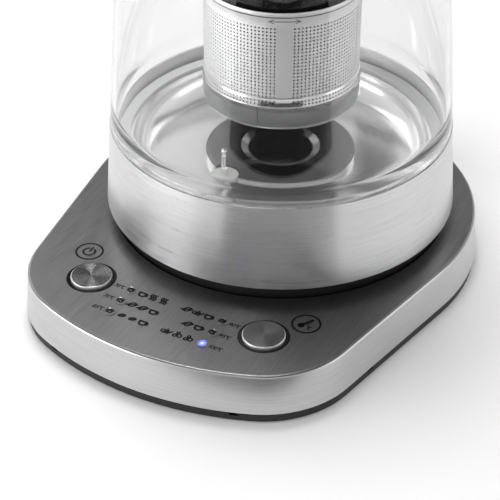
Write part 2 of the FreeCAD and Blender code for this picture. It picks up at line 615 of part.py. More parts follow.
def add_plan(sketch, inset):
    """The base's outline seen from above, moved inwards by inset."""
    back = number("plan_back_radius - (%s)" % inset)
    corner = number("plan_corner_radius - (%s)" % inset)
    front = number("plan_front_radius - (%s)" % inset)
    side, ahead = number("plan_corner_side"), number("plan_corner_front")
    front_centre = -ahead + ((front - corner) ** 2 - side ** 2) ** 0.5
    towards = Vector(side, -ahead, 0)
    tilt = (back - corner) / towards.Length
    along = Vector(towards).normalize()
    across = Vector(-along.y, along.x, 0)
    normal = along * tilt + across * (1 - tilt ** 2) ** 0.5
    mirrored = Vector(-normal.x, normal.y, 0)
    ahead_way = (towards - Vector(0, front_centre, 0)).normalize()
    ahead_mirrored = Vector(-ahead_way.x, ahead_way.y, 0)
    left = Vector(-side, -ahead, 0)
    middle = Vector(0, front_centre, 0)

    def arc(centre, radius, first, last):
        circle = Part.Circle(centre, Vector(0, 0, 1), radius)
        return sketch.addGeometry(Part.ArcOfCircle(
            circle, circle.parameter(centre + first * radius),
            circle.parameter(centre + last * radius)))

    rear = arc(Vector(), back, normal, mirrored)
    left_side = sketch.addGeometry(Part.LineSegment(mirrored * back, left + mirrored * corner))
    left_corner = arc(left, corner, mirrored, ahead_mirrored)
    bow = arc(middle, front, ahead_mirrored, ahead_way)
    right_corner = arc(towards, corner, ahead_way, normal)
    right_side = sketch.addGeometry(Part.LineSegment(towards + normal * corner, normal * back))
    ring = [rear, left_side, left_corner, bow, right_corner, right_side]
    for index, geometry in enumerate(ring):
        after = ring[(index + 1) % len(ring)]
        sketch.addConstraint(Sketcher.Constraint("Tangent", geometry, 2, after, 1))
    pin_point(sketch, rear, 3, ("0", "0"))
    pin_point(sketch, left_corner, 3, ("-plan_corner_side", "-plan_corner_front"))
    pin_point(sketch, right_corner, 3, ("plan_corner_side", "-plan_corner_front"))
    for geometry, name in ((rear, "back"), (left_corner, "corner"), (right_corner, "corner"),
                           (bow, "front")):
        text = "plan_%s_radius - (%s)" % (name, inset)
        index = sketch.addConstraint(Sketcher.Constraint("Radius", geometry, number(text)))
        sketch.setExpression("Constraints[%d]" % index, bound(text))


# ---- features ---------------------------------------------------------------------------------

def feature(body, kind, sketch, name, length=None, reverse=False, middle=False, through=False):
    item = body.newObject("PartDesign::" + kind, body.Label + "_" + name)
    item.Profile = sketch
    if kind in ("Revolution", "Groove"):
        item.ReferenceAxis = (sketch, ["V_Axis"])
        item.Angle = 360
    elif through:
        item.Type = "ThroughAll"
    else:
        item.setExpression("Length", bound(length))
    item.Reversed = reverse
    item.Midplane = middle
    body.Tip = item
    return item


def turn(body, points, name="turned"):
    """Solid of revolution about Z from an outline of (radius, height) points."""
    sketch = new_sketch(body, name + "_outline", "XZ_Plane")
    add_profile(sketch, points)
    return feature(body, "Revolution", sketch, name)


def turn_cut(body, points, name):
    sketch = new_sketch(body, name + "_outline", "XZ_Plane")
    add_profile(sketch, points)
    return feature(body, "Groove", sketch, name)


def extrude(body, draw, name, bottom, height, kind="Pad"):
    """Draws on a level plane at bottom and pads upwards, or pockets upwards, by height."""
    sketch = new_sketch(body, name + "_outline", "XY_Plane", bottom)
    draw(sketch)
    return feature(body, kind, sketch, name, height, reverse=(kind == "Pocket"))


def repeat_around(body, originals, count, name):
    pattern = body.newObject("PartDesign::PolarPattern", body.Label + "_" + name)
    pattern.Originals = originals
    axis = next(item for item in body.Origin.OriginFeatures if item.Role == "Z_Axis")
    pattern.Axis = (axis, [""])
    pattern.Angle = 360
    pattern.setExpression("Occurrences", bound(count))
    body.Tip = pattern
    return pattern


def soften(body, base, radius, wanted, name, kind="Fillet"):
    """Fillets or chamfers the edges of base for which wanted(edge) holds."""
    DOC.recompute()
    edges = ["Edge%d" % (index + 1) for index, edge in enumerate(base.Shape.Edges) if wanted(edge)]
    item = body.newObject("PartDesign::" + kind, body.Label + "_" + name)
    item.Base = (base, edges)
    item.setExpression("Radius" if kind == "Fillet" else "Size", bound(radius))
    body.Tip = item
    return item


def tapered(item, angle):
    item.setExpression("TaperAngle", bound(angle))
    return item


def level(edge, height):
    """True for an edge that lies wholly at this height."""
    box = edge.BoundBox
    return abs(box.ZMin - number(height)) < 1e-3 and abs(box.ZMax - number(height)) < 1e-3


def cut_backwards(body, draw, name, start, depth):
    """Pocket towards +Y from an upright plane at start."""
    sketch = new_sketch(body, name + "_outline", "XZ_Plane", "-(%s)" % start)
    draw(sketch)
    return feature(body, "Pocket", sketch, name, depth)


def pad_backwards(body, draw, name, start, depth):
    sketch = new_sketch(body, name + "_outline", "XZ_Plane", "-(%s)" % start)
    draw(sketch)
    return feature(body, "Pad", sketch, name, depth, reverse=True)


def loft(body, kind, first, last, name):
    item = body.newObject("PartDesign::" + kind, body.Label + "_" + name)
    item.Profile = first
    item.Sections = [last]
    item.Ruled = True
    body.Tip = item
    return item


def partial_ring(body, inner, outer, low, high, name):
    """A block swept through the lug angle about the axis."""
    sketch = new_sketch(body, name + "_outline", "XZ_Plane")
    add_box(sketch, inner, outer, low, high)
    item = feature(body, "Revolution", sketch, name)
    item.setExpression("Angle", bound("lug_angle"))
    return item


def place(body, across="0", ahead="0"):
    body.setExpression("Placement.Base.x", bound(across))
    body.setExpression("Placement.Base.y", bound(ahead))
    return body


# ---- base -------------------------------------------------------------------------------------

def make_base_shell():
    """Deep-drawn steel pan: rolled top edge, slanted skirt, openings and embossed lamp rings."""
    body = new_body("base_shell")
    skirt = "pan_top - pan_bottom"
    outline = new_sketch(body, "outer_outline", "XY_Plane", "pan_top")
    add_plan(outline, "0")
    block = tapered(feature(body, "Pad", outline, "outer", skirt, reverse=True), "pan_flare")
    soften(body, block, "pan_edge_radius", lambda edge: level(edge, "pan_top"), "rolled")
    bend = "pan_edge_radius - pan_wall"
    inside = new_sketch(body, "inner_bend_outline", "XY_Plane", "frame_top")
    add_plan(inside, "pan_edge_radius")
    tapered(feature(body, "Pocket", inside, "inner_bend", bend), "45")
    inside = new_sketch(body, "inner_outline", "XY_Plane", "frame_top - (%s)" % bend)
    add_plan(inside, "pan_wall - pan_edge_radius * tan(pan_flare * 1deg)")
    tapered(feature(body, "Pocket", inside, "inner", skirt), "pan_flare")
    openings = new_sketch(body, "openings", "XY_Plane", "pan_top")
    add_circle(openings, "seat_radius")
    add_circles(openings, "bezel_outer + bezel_gap", button_places())
    add_circles(openings, "lamp_hole", lamp_places())
    feature(body, "Pocket", openings, "openings_cut", through=True)
    rings = new_sketch(body, "lamp_rings", "XY_Plane", "pan_top")
    add_circles(rings, "lamp_hole", lamp_places())
    add_circles(rings, "lamp_hole + lamp_ring_width", lamp_places())
    feature(body, "Pad", rings, "lamp_rings_pad", "lamp_ring_rise")
    cut_inlet(body)


def button_places():
    return [(side + "button_side", "-button_front") for side in ("-", "")]


def lamp_places():
    """Centres of the six indicators, front row last, left column first."""
    return [(side + "lamp_side", "-(lamp_front + lamp_pitch * %d)" % row)
            for side in ("-", "") for row in range(3)]


def polar(radius, angle, side=""):
    """A place on a ring around the jug axis, the angle counted from the X axis."""
    return (side + "%s * cos(%s * 1deg)" % (radius, angle), "%s * sin(%s * 1deg)" % (radius, angle))


def foot_places():
    """Front pair under the buttons, the other three on a ring."""
    return [("-foot_front_side", "-button_front"), ("foot_front_side", "-button_front"),
            polar("foot_ring", "foot_mid_angle", "-"), polar("foot_ring", "foot_mid_angle"),
            ("0", "foot_ring")]


def screw_places():
    across = "(plan_corner_side + screw_front_out)"
    ahead = "screw_front_back - plan_corner_front"
    return [("-" + across, ahead), (across, ahead),
            polar("screw_ring", "screw_back_angle", "-"), polar("screw_ring", "screw_back_angle")]


def post_places():
    return [(side + "(board_half_width - post_side_inset)", "-(%s)" % row) for side in ("-", "")
            for row in ("board_front - post_end_inset", "board_back + post_end_inset")]


def cut_inlet(body):
    """Hole for the cord inlet through the back wall."""
    cut_backwards(body, lambda sketch: add_circle(sketch, "inlet_radius", ("0", "inlet_height")),
                  "inlet_hole", "inlet_start", "2 * inlet_inset")


def make_base_tray():
    """Moulded tray: visible band, walls inside the skirt, screw bosses, board posts, foot rests."""
    body = new_body("base_tray")
    extrude(body, lambda sketch: add_plan(sketch, "tray_band_inset - skirt_out"), "band",
            "tray_bottom", "tray_band_top - tray_bottom")
    extrude(body, lambda sketch: add_plan(sketch, "pan_wall + tray_gap"), "block",
            "tray_band_top", "tray_top - tray_band_top")
    extrude(body, lambda sketch: add_plan(sketch, "pan_wall + tray_gap + tray_wall"), "inside",
            "tray_inner", "tray_top - tray_inner", "Pocket")
    extrude(body, lambda sketch: add_circles(sketch, "boss_radius", screw_places()),
            "bosses", "tray_inner", "tray_top - tray_inner")
    extrude(body, lambda sketch: add_circles(sketch, "post_radius", post_places()),
            "board_posts", "tray_inner", "board_bottom - tray_inner")
    extrude(body, lambda sketch: add_box(sketch, "-tray_rib / 2", "tray_rib / 2",
                                         "-rib_ring_radius", "rib_ring_radius - middle_rib_short"),
            "middle_rib", "tray_inner", "tray_rib_height")
    extrude(body, lambda sketch: add_circles(sketch, "foot_radius + foot_gap", foot_places()),
            "foot_recesses", "tray_bottom", "foot_recess", "Pocket")
    extrude(body, draw_pry_slots, "pry_slots", "tray_band_top - pry_height", "pry_height",
            "Pocket")
    cut_inlet(body)


def draw_pry_slots(sketch):
    """Shallow slots in the face of the band: two in the bowed front, one in each side."""
    bow = "(plan_front_radius + band_out)"
    side = "(plan_back_radius + band_out)"
    front_slot = ("%s * sin(pry_front_angle * 1deg)" % bow,
                  "plan_bow_centre - %s * cos(pry_front_angle * 1deg)" % bow,
                  "pry_length", "pry_depth")
    side_slot = ("%s * cos(plan_side_angle) + pry_side_ahead * sin(plan_side_angle)" % side,
                 "%s * sin(plan_side_angle) - pry_side_ahead * cos(plan_side_angle)" % side,
                 "pry_depth", "pry_length")
    for across, ahead, wide, deep in (front_slot, side_slot):
        for sign in ("-", ""):
            middle = "%s(%s)" % (sign, across)
            add_box(sketch, middle + " - %s / 2" % wide, middle + " + %s / 2" % wide,
                    ahead + " - %s / 2" % deep, ahead + " + %s / 2" % deep)


def make_seat_frame():
    """Moulded frame under the pan: the jug's seat, a ring rib, radial ribs and the panel's holes."""
    body = new_body("seat_frame")
    extrude(body, lambda sketch: add_plan(sketch, "frame_inset"), "panel",
            "frame_bottom", "frame_thickness")
    extrude(body, lambda sketch: add_circle(sketch, "seat_radius + seat_lip"), "seat",
            "seat_top", "frame_top - seat_top", "Pocket")
    rib_bottom = "frame_bottom - frame_rib_depth"
    turn(body, [
        ("rib_ring_radius", "frame_bottom"), ("rib_ring_radius + tray_rib", "frame_bottom"),
        ("rib_ring_radius + tray_rib", rib_bottom), ("rib_ring_radius", rib_bottom)], "ring_rib")
    spoke = extrude(body, lambda sketch: add_box(
        sketch, "tower_flange + spoke_gap", "rib_ring_radius + tray_rib / 2",
        "-tray_rib / 2", "tray_rib / 2"), "spoke", rib_bottom, "frame_rib_depth")
    repeat_around(body, [spoke], "spoke_count", "spokes")
    holes = new_sketch(body, "holes", "XY_Plane", "frame_top")
    add_circle(holes, "tower_radius + tower_gap")
    add_circles(holes, "bezel_outer + bezel_gap", button_places())
    add_circles(holes, "lamp_hole", lamp_places())
    feature(body, "Pocket", holes, "holes_cut", through=True)


# ---- connector of the base --------------------------------------------------------------------

def make_connector_tower():
    """Round tower whose bore and ring slot take the jug's pin and blade at any angle."""
    turn(new_body("connector_tower"), [
        ("0", "tower_low"), ("tower_bore", "tower_low"), ("tower_bore", "tower_top"),
        ("ring_slot_inner", "tower_top"), ("ring_slot_inner", "tower_low"),
        ("ring_slot_outer", "tower_low"), ("ring_slot_outer", "tower_top"),
        ("tower_radius - tower_chamfer", "tower_top"),
        ("tower_radius", "tower_top - 2 * tower_chamfer"), ("tower_radius", "frame_bottom"),
        ("tower_flange", "frame_bottom"), ("tower_flange", "tower_foot"), ("0", "tower_foot")])


def make_contact(name, hole):
    """Sheet sleeve that lines a round hole of the tower."""
    outer = hole + " - contact_gap"
    inner = outer + " - contact_wall"
    turn(new_body(name), [
        (inner, "tower_low"), (outer, "tower_low"), (outer, "contact_top"), (inner, "contact_top")])


# ---- push buttons, board and lamps ------------------------------------------------------------

def make_bezel(name, where):
    turn(place(new_body(name + "_bezel"), *where), [
        ("bezel_inner", "bezel_bottom"), ("bezel_inner", "pan_top"), ("bezel_outer", "pan_top"),
        ("bezel_outer", "frame_bottom"), ("bezel_outer + bezel_flange", "frame_bottom"),
        ("bezel_outer + bezel_flange", "bezel_bottom")])


def make_button_cap(name, where):
    """Pressed steel cap: flat rim, shallow cone inside, rolled edge."""
    turn(place(new_body(name + "_button_cap"), *where), [
        ("0", "cap_top - cap_dish"), ("cap_radius - cap_rim", "cap_top"),
        ("cap_radius - cap_edge_radius", "cap_top", "-cap_edge_radius"),
        ("cap_radius", "cap_top - cap_edge_radius"), ("cap_radius", "cap_bottom"),
        ("0", "cap_bottom")])


def make_button_stem(name, where):
    """Plunger under the cap; its flange stops below the bezel."""
    turn(place(new_body(name + "_button_stem"), *where), [
        ("0", "cap_bottom"), ("cap_radius - cap_edge_radius", "cap_bottom"),
        ("cap_radius - cap_edge_radius", "stem_flange_top"),
        ("bezel_inner + stem_flange_reach", "stem_flange_top"),
        ("bezel_inner + stem_flange_reach", "stem_flange_bottom"),
        ("stem_tip_radius", "stem_flange_bottom"), ("stem_tip_radius", "stem_tip"),
        ("0", "stem_tip")])


def make_return_dome(name, where):
    turn(place(new_body(name + "_return_dome"), *where), [
        ("dome_base_radius - dome_wall", "board_top"), ("dome_base_radius", "board_top"),
        ("dome_top_radius", "dome_top"), ("dome_top_radius - dome_wall", "dome_top")])


def make_key_switch(name, where):
    switch = place(new_body(name + "_switch"), *where)
    half = "switch_side / 2"
    extrude(switch, lambda sketch: add_box(sketch, "-" + half, half, "-" + half, half),
            "case", "board_top", "switch_height")
    extrude(switch, lambda sketch: add_circle(sketch, "switch_key_radius"), "key",
            "switch_top", "switch_key_height")


def make_button(name, where):
    make_bezel(name, where)
    make_button_cap(name, where)
    make_button_stem(name, where)
    make_return_dome(name, where)
    make_key_switch(name, where)


def make_control_board():
    """Circuit board with one lamp chip under each light guide."""
    body = new_body("control_board")
    extrude(body, lambda sketch: add_box(sketch, "-board_half_width", "board_half_width",
                                         "-board_front", "-board_back"),
            "plate", "board_bottom", "board_thickness")

    def draw_chips(sketch):
        half = " + chip_side / 2"
        less = " - chip_side / 2"
        for across, ahead in lamp_places():
            add_box(sketch, across + less, across + half, ahead + less, ahead + half)

    extrude(body, draw_chips, "chips", "board_top", "chip_height")


def make_light_guide(name, where):
    """Frosted rod with a collar under the frame."""
    turn(place(new_body(name), *where), [
        ("0", "lamp_top"), ("lamp_radius", "lamp_top"), ("lamp_radius", "frame_bottom"),
        ("lamp_foot_radius", "frame_bottom"),
        ("lamp_foot_radius", "frame_bottom - lamp_foot_height"),
        ("lamp_radius", "frame_bottom - lamp_foot_height"),
        ("lamp_radius", "lamp_foot"), ("0", "lamp_foot")])


# ---- feet, cord inlet, terminal block ---------------------------------------------------------

def make_foot(name, where):
    turn(place(new_body(name), *where), [
        ("0", "tray_bottom + foot_recess"), ("foot_radius", "tray_bottom + foot_recess"),
        ("foot_radius", "foot_chamfer"), ("foot_radius - foot_chamfer", "0"), ("0", "0")])


def make_cord_inlet():
    """Bush through the back wall with an outer collar."""
    body = new_body("cord_inlet")
    middle = ("0", "inlet_height")
    pad_backwards(body, lambda sketch: add_circle(sketch, "inlet_radius - inlet_gap", middle),
                  "bush", "inlet_start", "inlet_length")
    pad_backwards(body, lambda sketch: add_circle(sketch, "inlet_flange", middle),
                  "collar", "plan_back_radius + skirt_out", "inlet_collar")
    cut_backwards(body, lambda sketch: add_circle(sketch, "inlet_bore", middle),
                  "bore", "inlet_start - inlet_collar", "2 * inlet_length")


def make_terminal_block():
    body = new_body("terminal_block")
    extrude(body, lambda sketch: add_box(sketch, "-terminal_width / 2", "terminal_width / 2",
                                         "terminal_back - terminal_depth", "terminal_back"),
            "case", "tray_inner", "terminal_height")
    wells = [(side + "terminal_width / 4", "terminal_back - terminal_depth / 2")
             for side in ("-", "")]
    extrude(body, lambda sketch: add_circles(sketch, "terminal_well_radius", wells),
            "screw_wells", "tray_inner + terminal_height - terminal_well_depth",
            "terminal_well_depth", "Pocket")


# ---- connector of the jug ---------------------------------------------------------------------

def make_socket_cup():
    """Cup over the tower; its flange rests on the plate of the jug's cover."""
    flange_top = "cup_lip + socket_flange_thickness"
    turn(new_body("socket_cup"), [
        ("cup_inner", "recess_top"), ("cup_outer", "recess_top"), ("cup_outer", "cup_lip"),
        ("socket_flange", "cup_lip"), ("socket_flange", flange_top), ("cup_outer", flange_top),
        ("cup_outer", "cup_top"), ("0", "cup_top"), ("0", "cup_roof"), ("cup_inner", "cup_roof")])


def make_socket_pin():
    turn(new_body("socket_pin"), [
        ("0", "cup_roof"), ("pin_radius", "cup_roof"), ("pin_radius", "pin_end + pin_point_height"),
        ("pin_radius - pin_point_width", "pin_end"), ("0", "pin_end")])


def make_socket_blade():
    inner, outer = "ring_slot_radius - blade_wall / 2", "ring_slot_radius + blade_wall / 2"
    turn(new_body("socket_blade"), [
        (inner, "pin_end"), (outer, "pin_end"), (outer, "cup_roof"), (inner, "cup_roof")])


# ---- jug --------------------------------------------------------------------------------------

def make_jug_base_cover():
    """Black cover: upright band, chamfer, standing ring and the plate around the connector."""
    turn(new_body("jug_base_cover"), [
        ("cover_radius", "cover_top"), ("cover_radius", "cover_edge"),
        ("cover_foot", "jug_bottom"), ("ring_inner", "jug_bottom"),
        ("ring_inner - cover_ring_slope", "recess_top"),
        ("cup_outer + cover_cup_gap", "recess_top"), ("cup_outer + cover_cup_gap", "cover_plate"),
        ("ring_inner + cover_ring_root", "cover_plate"),
        ("ring_inner + cover_ring_foot", "jug_bottom + cover_wall"),
        ("cover_foot - cover_chamfer_inset", "jug_bottom + cover_wall"),
        ("cover_radius - cover_wall", "cover_edge + cover_chamfer_rise"),
        ("cover_radius - cover_wall", "cover_top")])


def make_jug_collar():
    """Slightly conical steel band, turned in at its lower edge."""
    turn(new_body("jug_collar"), [
        ("collar_bottom_radius", "collar_bottom"), ("collar_top_radius", "collar_top"),
        ("collar_top_radius - collar_wall", "collar_top"),
        ("collar_bottom_radius - collar_wall", "collar_bottom + collar_wall"),
        ("cover_radius + collar_gap", "collar_bottom + collar_wall"),
        ("cover_radius + collar_gap", "collar_bottom")])


def make_heater_plate():
    """Pressed steel floor: raised disc with a dimple, dished wall, holes for the probe."""
    plate = new_body("heater_plate")
    turn(plate, [
        ("0", "disc_top - dimple_depth"), ("dimple_radius", "disc_top - dimple_depth"),
        ("dimple_radius + dimple_slope", "disc_top"),
        ("disc_radius - disc_edge_radius", "disc_top", "-disc_edge_radius"),
        ("disc_radius", "disc_top - disc_edge_radius"), ("disc_radius", "floor_top"),
        ("floor_flat_radius", "floor_top", "floor_wall_radius"), ("floor_rim_radius", "dish_top"),
        ("plate_radius", "dish_top"), ("plate_radius", "dish_top - floor_sheet"),
        ("floor_rim_radius + floor_fold_out", "dish_top - floor_sheet",
         "-(floor_wall_radius + floor_sheet)"),
        ("floor_flat_radius + floor_fold_in", "floor_under"), ("0", "floor_under")])
    probe = ("-probe_side", "-probe_front")
    extrude(plate, lambda sketch: add_circle(sketch, "grommet_radius + grommet_gap", probe),
            "probe_recess", "floor_top", "disc_rise", "Pocket")
    extrude(plate, lambda sketch: add_circle(sketch, "grommet_neck + grommet_fit", probe),
            "probe_hole", "floor_under", "floor_sheet", "Pocket")


def make_floor_seal():
    """Silicone ring that caps the floor's flange inside the glass."""
    turn(new_body("floor_seal"), [
        ("floor_rim_radius + seal_inset", "dish_top"),
        ("floor_rim_radius + seal_inset", "dish_top + seal_thickness"),
        ("seal_radius", "dish_top + seal_thickness"), ("seal_radius", "dish_top - seal_skirt"),
        ("plate_radius + seal_fit", "dish_top - seal_skirt"),
        ("plate_radius + seal_fit", "dish_top")])


def make_heat_spreader():
    extrude(new_body("heat_spreader"), lambda sketch: add_circle(sketch, "spreader_radius"),
            "disc", "spreader_bottom", "spreader_thickness")


def make_heating_element():
    """Open ring of heater tube with two cold ends that point down."""
    element = new_body("heating_element")
    section = new_sketch(element, "section", "XZ_Plane")
    add_circle(section, "element_tube_radius", ("element_ring_radius", "element_middle"))
    ring = feature(element, "Revolution", section, "ring")
    ring.setExpression("Angle", bound("360 - element_gap_angle"))
    ends = (("first", ("element_ring_radius", "0")),
            ("second", polar("element_ring_radius", "(360 - element_gap_angle)")))
    for name, spot in ends:
        extrude(element, lambda sketch: add_circle(sketch, "element_pin_radius", spot),
                name + "_pin", "element_middle - element_pin_length", "element_pin_length")


def make_probe_pin(where):
    shoulder = "floor_top + grommet_height + probe_shoulder"
    turn(place(new_body("probe_pin"), *where), [
        ("0", "probe_top"), ("probe_tip_radius - probe_tip_width", "probe_top"),
        ("probe_tip_radius", "probe_top - probe_tip_height"),
        ("probe_tip_radius", shoulder + " + probe_shoulder_height"), ("probe_pin_radius", shoulder),
        ("probe_pin_radius", "floor_under - probe_tail"), ("0", "floor_under - probe_tail")])


def make_probe_grommet(where):
    """Silicone button with a neck through the floor and a lip below it."""
    top = "floor_top + grommet_height"
    turn(place(new_body("probe_grommet"), *where), [
        ("probe_pin_radius + grommet_fit", top),
        ("grommet_radius - grommet_edge_radius", top, "-grommet_edge_radius"),
        ("grommet_radius", top + " - grommet_edge_radius"), ("grommet_radius", "floor_top"),
        ("grommet_neck", "floor_top"), ("grommet_neck", "floor_under"),
        ("grommet_neck + grommet_lip", "floor_under"),
        ("grommet_neck + grommet_lip", "floor_under - grommet_lip_height"),
        ("probe_pin_radius + grommet_fit", "floor_under - grommet_lip_height")])


def make_glass():
    """Blown glass: ground neck in the collar, shoulder on its edge, moulded ring inside."""
    turn(new_body("glass_body"), [
        ("glass_neck_radius", "glass_foot"), ("glass_neck_radius", "glass_shoulder"),
        ("glass_base_radius", "glass_shoulder + glass_shoulder_height", "glass_bow_radius"),
        ("glass_top_radius", "glass_top"),
        ("glass_top_radius - glass_wall", "glass_top", "-(glass_bow_radius - glass_wall)"),
        ("glass_base_radius - glass_wall - glass_ring_fade", "glass_ring_top + glass_ring_blend"),
        ("glass_ring_inner", "glass_ring_top"),
        ("glass_ring_inner", "glass_shoulder + glass_ring_lift"),
        ("glass_neck_inner", "glass_shoulder - glass_ring_root"),
        ("glass_neck_inner", "glass_foot")])


def make_top_band():
    """Steel band around the mouth with the bracket that carries the handle."""
    body = new_body("top_band")
    turn(body, [
        ("band_low_inner", "band_bottom"), ("band_low_inner + band_wall", "band_bottom"),
        ("band_top_inner + band_wall", "band_top"), ("band_top_inner", "band_top")])
    sketch = new_sketch(body, "bracket_outline", "YZ_Plane")
    end = "band_top_inner + bracket_reach"
    add_profile(sketch, [
        (band_inner_at("bracket_low") + " + bracket_root", "bracket_low"),
        (band_inner_at("bracket_high") + " + bracket_root", "bracket_high"),
        (end, "bracket_high"), (end, "bracket_low")])
    feature(body, "Pad", sketch, "bracket", "bracket_width", middle=True)


def band_inner_at(height):
    share = "((%s) - band_bottom) / (band_top - band_bottom)" % height
    return "(band_low_inner - (band_low_inner - band_top_inner) * %s)" % share


def make_spout_rim():
    """Moulded pouring rim: skirt in the glass, flange, outer wall and a lofted spout."""
    body = new_body("spout_rim")
    skirt_bottom = "glass_top - rim_skirt_depth"
    root = new_sketch(body, "spout_root", "XZ_Plane", "rim_seat - spout_root_inset")
    add_profile(root, spout_section("spout_root_width / 2", "spout_root_drop", "0"))
    tip = new_sketch(body, "spout_tip", "XZ_Plane", "spout_lip")
    add_profile(tip, spout_section("spout_tip_width / 2", "spout_tip_drop", "0"))
    loft(body, "AdditiveLoft", root, tip, "beak")
    turn_cut(body, [
        ("0", "band_bottom"), ("glass_cut_radius", "band_bottom"),
        ("glass_cut_radius", "flange_bottom"), ("0", "flange_bottom")], "glass_room")
    turn(body, [
        ("rim_inner_radius", skirt_bottom), ("skirt_radius", skirt_bottom),
        ("skirt_radius", "flange_bottom"), ("rim_radius", "flange_bottom"),
        ("rim_radius", "rim_top - rim_edge_radius", "rim_edge_radius"),
        ("rim_radius - rim_edge_radius", "rim_top"), ("rim_seat", "rim_top"),
        ("rim_seat", "flange_top"), ("rim_inner_radius", "flange_top")])
    turn_cut(body, [
        ("0", "flange_top"), ("rim_seat", "flange_top"), ("rim_seat", "rim_top + cut_margin"),
        ("0", "rim_top + cut_margin")], "lid_room")
    root = new_sketch(body, "channel_root", "XZ_Plane", "rim_seat - channel_root_inset")
    add_profile(root, spout_section("spout_root_width / 2 - spout_wall", "rim_height",
                                    "channel_rise"))
    tip = new_sketch(body, "channel_tip", "XZ_Plane", "spout_lip + channel_over")
    add_profile(tip, spout_section("spout_tip_width / 2 - spout_wall",
                                   "spout_tip_drop - spout_wall", "channel_rise"))
    loft(body, "SubtractiveLoft", root, tip, "channel")


def spout_section(half, drop, rise):
    """Keel-shaped section: flat top, sides drawn in towards a narrower bottom."""
    low = "rim_top - (%s)" % drop
    top = "rim_top + " + rise
    return [("-(%s)" % half, top), (half, top), ("(%s) * spout_keel" % half, low),
            ("-(%s) * spout_keel" % half, low)]


def make_handle_grip():
    """C-shaped grip, rounded along its length, cut to fit the band, its bracket and the rim."""
    grip = new_body("handle_grip")
    sketch = new_sketch(grip, "side_outline", "YZ_Plane")
    root = "band_top_inner - handle_root"
    inner_face = "handle_back - handle_thickness"
    add_profile(sketch, [
        (root, "handle_top"), ("handle_back - handle_bend", "handle_top", "-handle_bend"),
        ("handle_back", "handle_top - handle_bend"),
        ("handle_back - handle_lean", "handle_bottom + handle_end", "-handle_end_radius"),
        (inner_face + " - handle_lean", "handle_bottom + handle_end + handle_end_step"),
        (inner_face, "arm_bottom - handle_inner_bend", "handle_inner_bend"),
        (inner_face + " - handle_inner_bend", "arm_bottom"), (root, "arm_bottom")])
    block = feature(grip, "Pad", sketch, "grip", "handle_width", middle=True)

    def on_flank(edge):
        box = edge.BoundBox
        flat = abs(abs(box.XMin) - number("handle_width / 2")) < 1e-3 and box.XLength < 1e-3
        return flat and box.YMax > number("band_top_inner")

    soften(grip, block, "handle_edge_radius", on_flank, "rounded")
    low, high = "band_bottom - cut_margin", "glass_top + cut_margin"
    off = " + band_wall + handle_gap"
    turn_cut(grip, [("0", low), (band_inner_at(low) + off, low),
                    (band_inner_at(high) + off, high), ("0", high)], "band_room")
    low, high = "flange_bottom - handle_rim_gap", "rim_top + cut_margin"
    turn_cut(grip, [("0", low), ("rim_radius + handle_gap", low),
                    ("rim_radius + handle_gap", high), ("0", high)], "rim_room")
    pocket = new_sketch(grip, "bracket_pocket", "YZ_Plane")
    add_box(pocket, "band_top_inner", "band_top_inner + bracket_reach + bracket_gap",
            "bracket_low - bracket_gap", "bracket_high + bracket_gap")
    feature(grip, "Pocket", pocket, "bracket_room", "bracket_width + 2 * bracket_gap", middle=True)
    groove = new_sketch(grip, "strip_outline", "YZ_Plane")
    add_profile(groove, strip_outline("insert_gap", "insert_depth"))
    feature(grip, "Pocket", groove, "strip_room", "insert_width + 2 * insert_gap", middle=True)


def make_handle_strip():
    strip = new_body("handle_strip")
    outline = new_sketch(strip, "outline", "YZ_Plane")
    add_profile(outline, strip_outline("0", "0"))
    feature(strip, "Pad", outline, "strip", "insert_width", middle=True)


def strip_outline(room, proud):
    """Side view of the strip let into the grip's back, grown by room and standing out by proud."""
    def face(height):
        rise = "(handle_top - handle_bend - (%s))" % height
        run = "(handle_top - handle_bend - handle_bottom - handle_end)"
        return "handle_back - handle_lean * %s / %s" % (rise, run)

    low, high = "insert_bottom - " + room, "insert_top + " + room
    deep = " - insert_depth - " + room
    out = " + " + proud
    return [(face(low) + deep, low), (face(high) + deep, high), (face(high) + out, high),
            (face(low) + out, low)]


# ---- lid --------------------------------------------------------------------------------------

def make_lid_cover():
    """Upper shell: edge, slope, flat top, and the filler hole with its ledge."""
    turn(new_body("lid_cover"), [
        ("filler_radius", "lid_top"), ("lid_flat_radius", "lid_top"), ("lid_radius", "lid_edge"),
        ("lid_radius", "lid_bottom"), ("lid_skin", "lid_bottom"),
        ("lid_skin", "lid_edge - lid_fold"), ("lid_flat_radius - lid_fold", "lid_top - lid_wall"),
        ("filler_radius + lid_wall", "lid_top - lid_wall"),
        ("filler_radius + lid_wall", "ledge_bottom"), ("ledge_radius", "ledge_bottom"),
        ("ledge_radius", "ledge_top"), ("filler_radius", "ledge_top")])


def make_lid_trim():
    top = "lid_top + lid_trim_thickness"
    turn(new_body("lid_trim"), [
        ("lid_trim_inner", "lid_top"), ("lid_trim_outer", "lid_top"), ("lid_trim_outer", top),
        ("lid_trim_inner", top)])


def make_lid_inner():
    """Lower part: a plate that closes the shell and the plug in the mouth."""
    rim = "lid_skin - lid_inner_gap"
    turn(new_body("lid_inner"), [
        ("holder_inner", "lid_bottom"), ("plug_radius - lid_wall", "lid_bottom"),
        ("plug_radius - lid_wall", "plug_bottom"), ("plug_radius", "plug_bottom"),
        ("plug_radius", "lid_bottom"), (rim, "lid_bottom"), (rim, "lid_bottom + lid_wall"),
        ("holder_inner", "lid_bottom + lid_wall")])


def make_lid_seal():
    """Silicone lip ring around the plug."""
    low = "plug_bottom + lid_seal_lift"
    inner, outer = "plug_radius + lid_seal_fit", "rim_inner_radius - lid_seal_gap"
    turn(new_body("lid_seal"), [
        (inner, low), (outer, low + " + lid_seal_slope"), (outer, low + " + lid_seal_height"),
        (inner, low + " + lid_seal_height")])


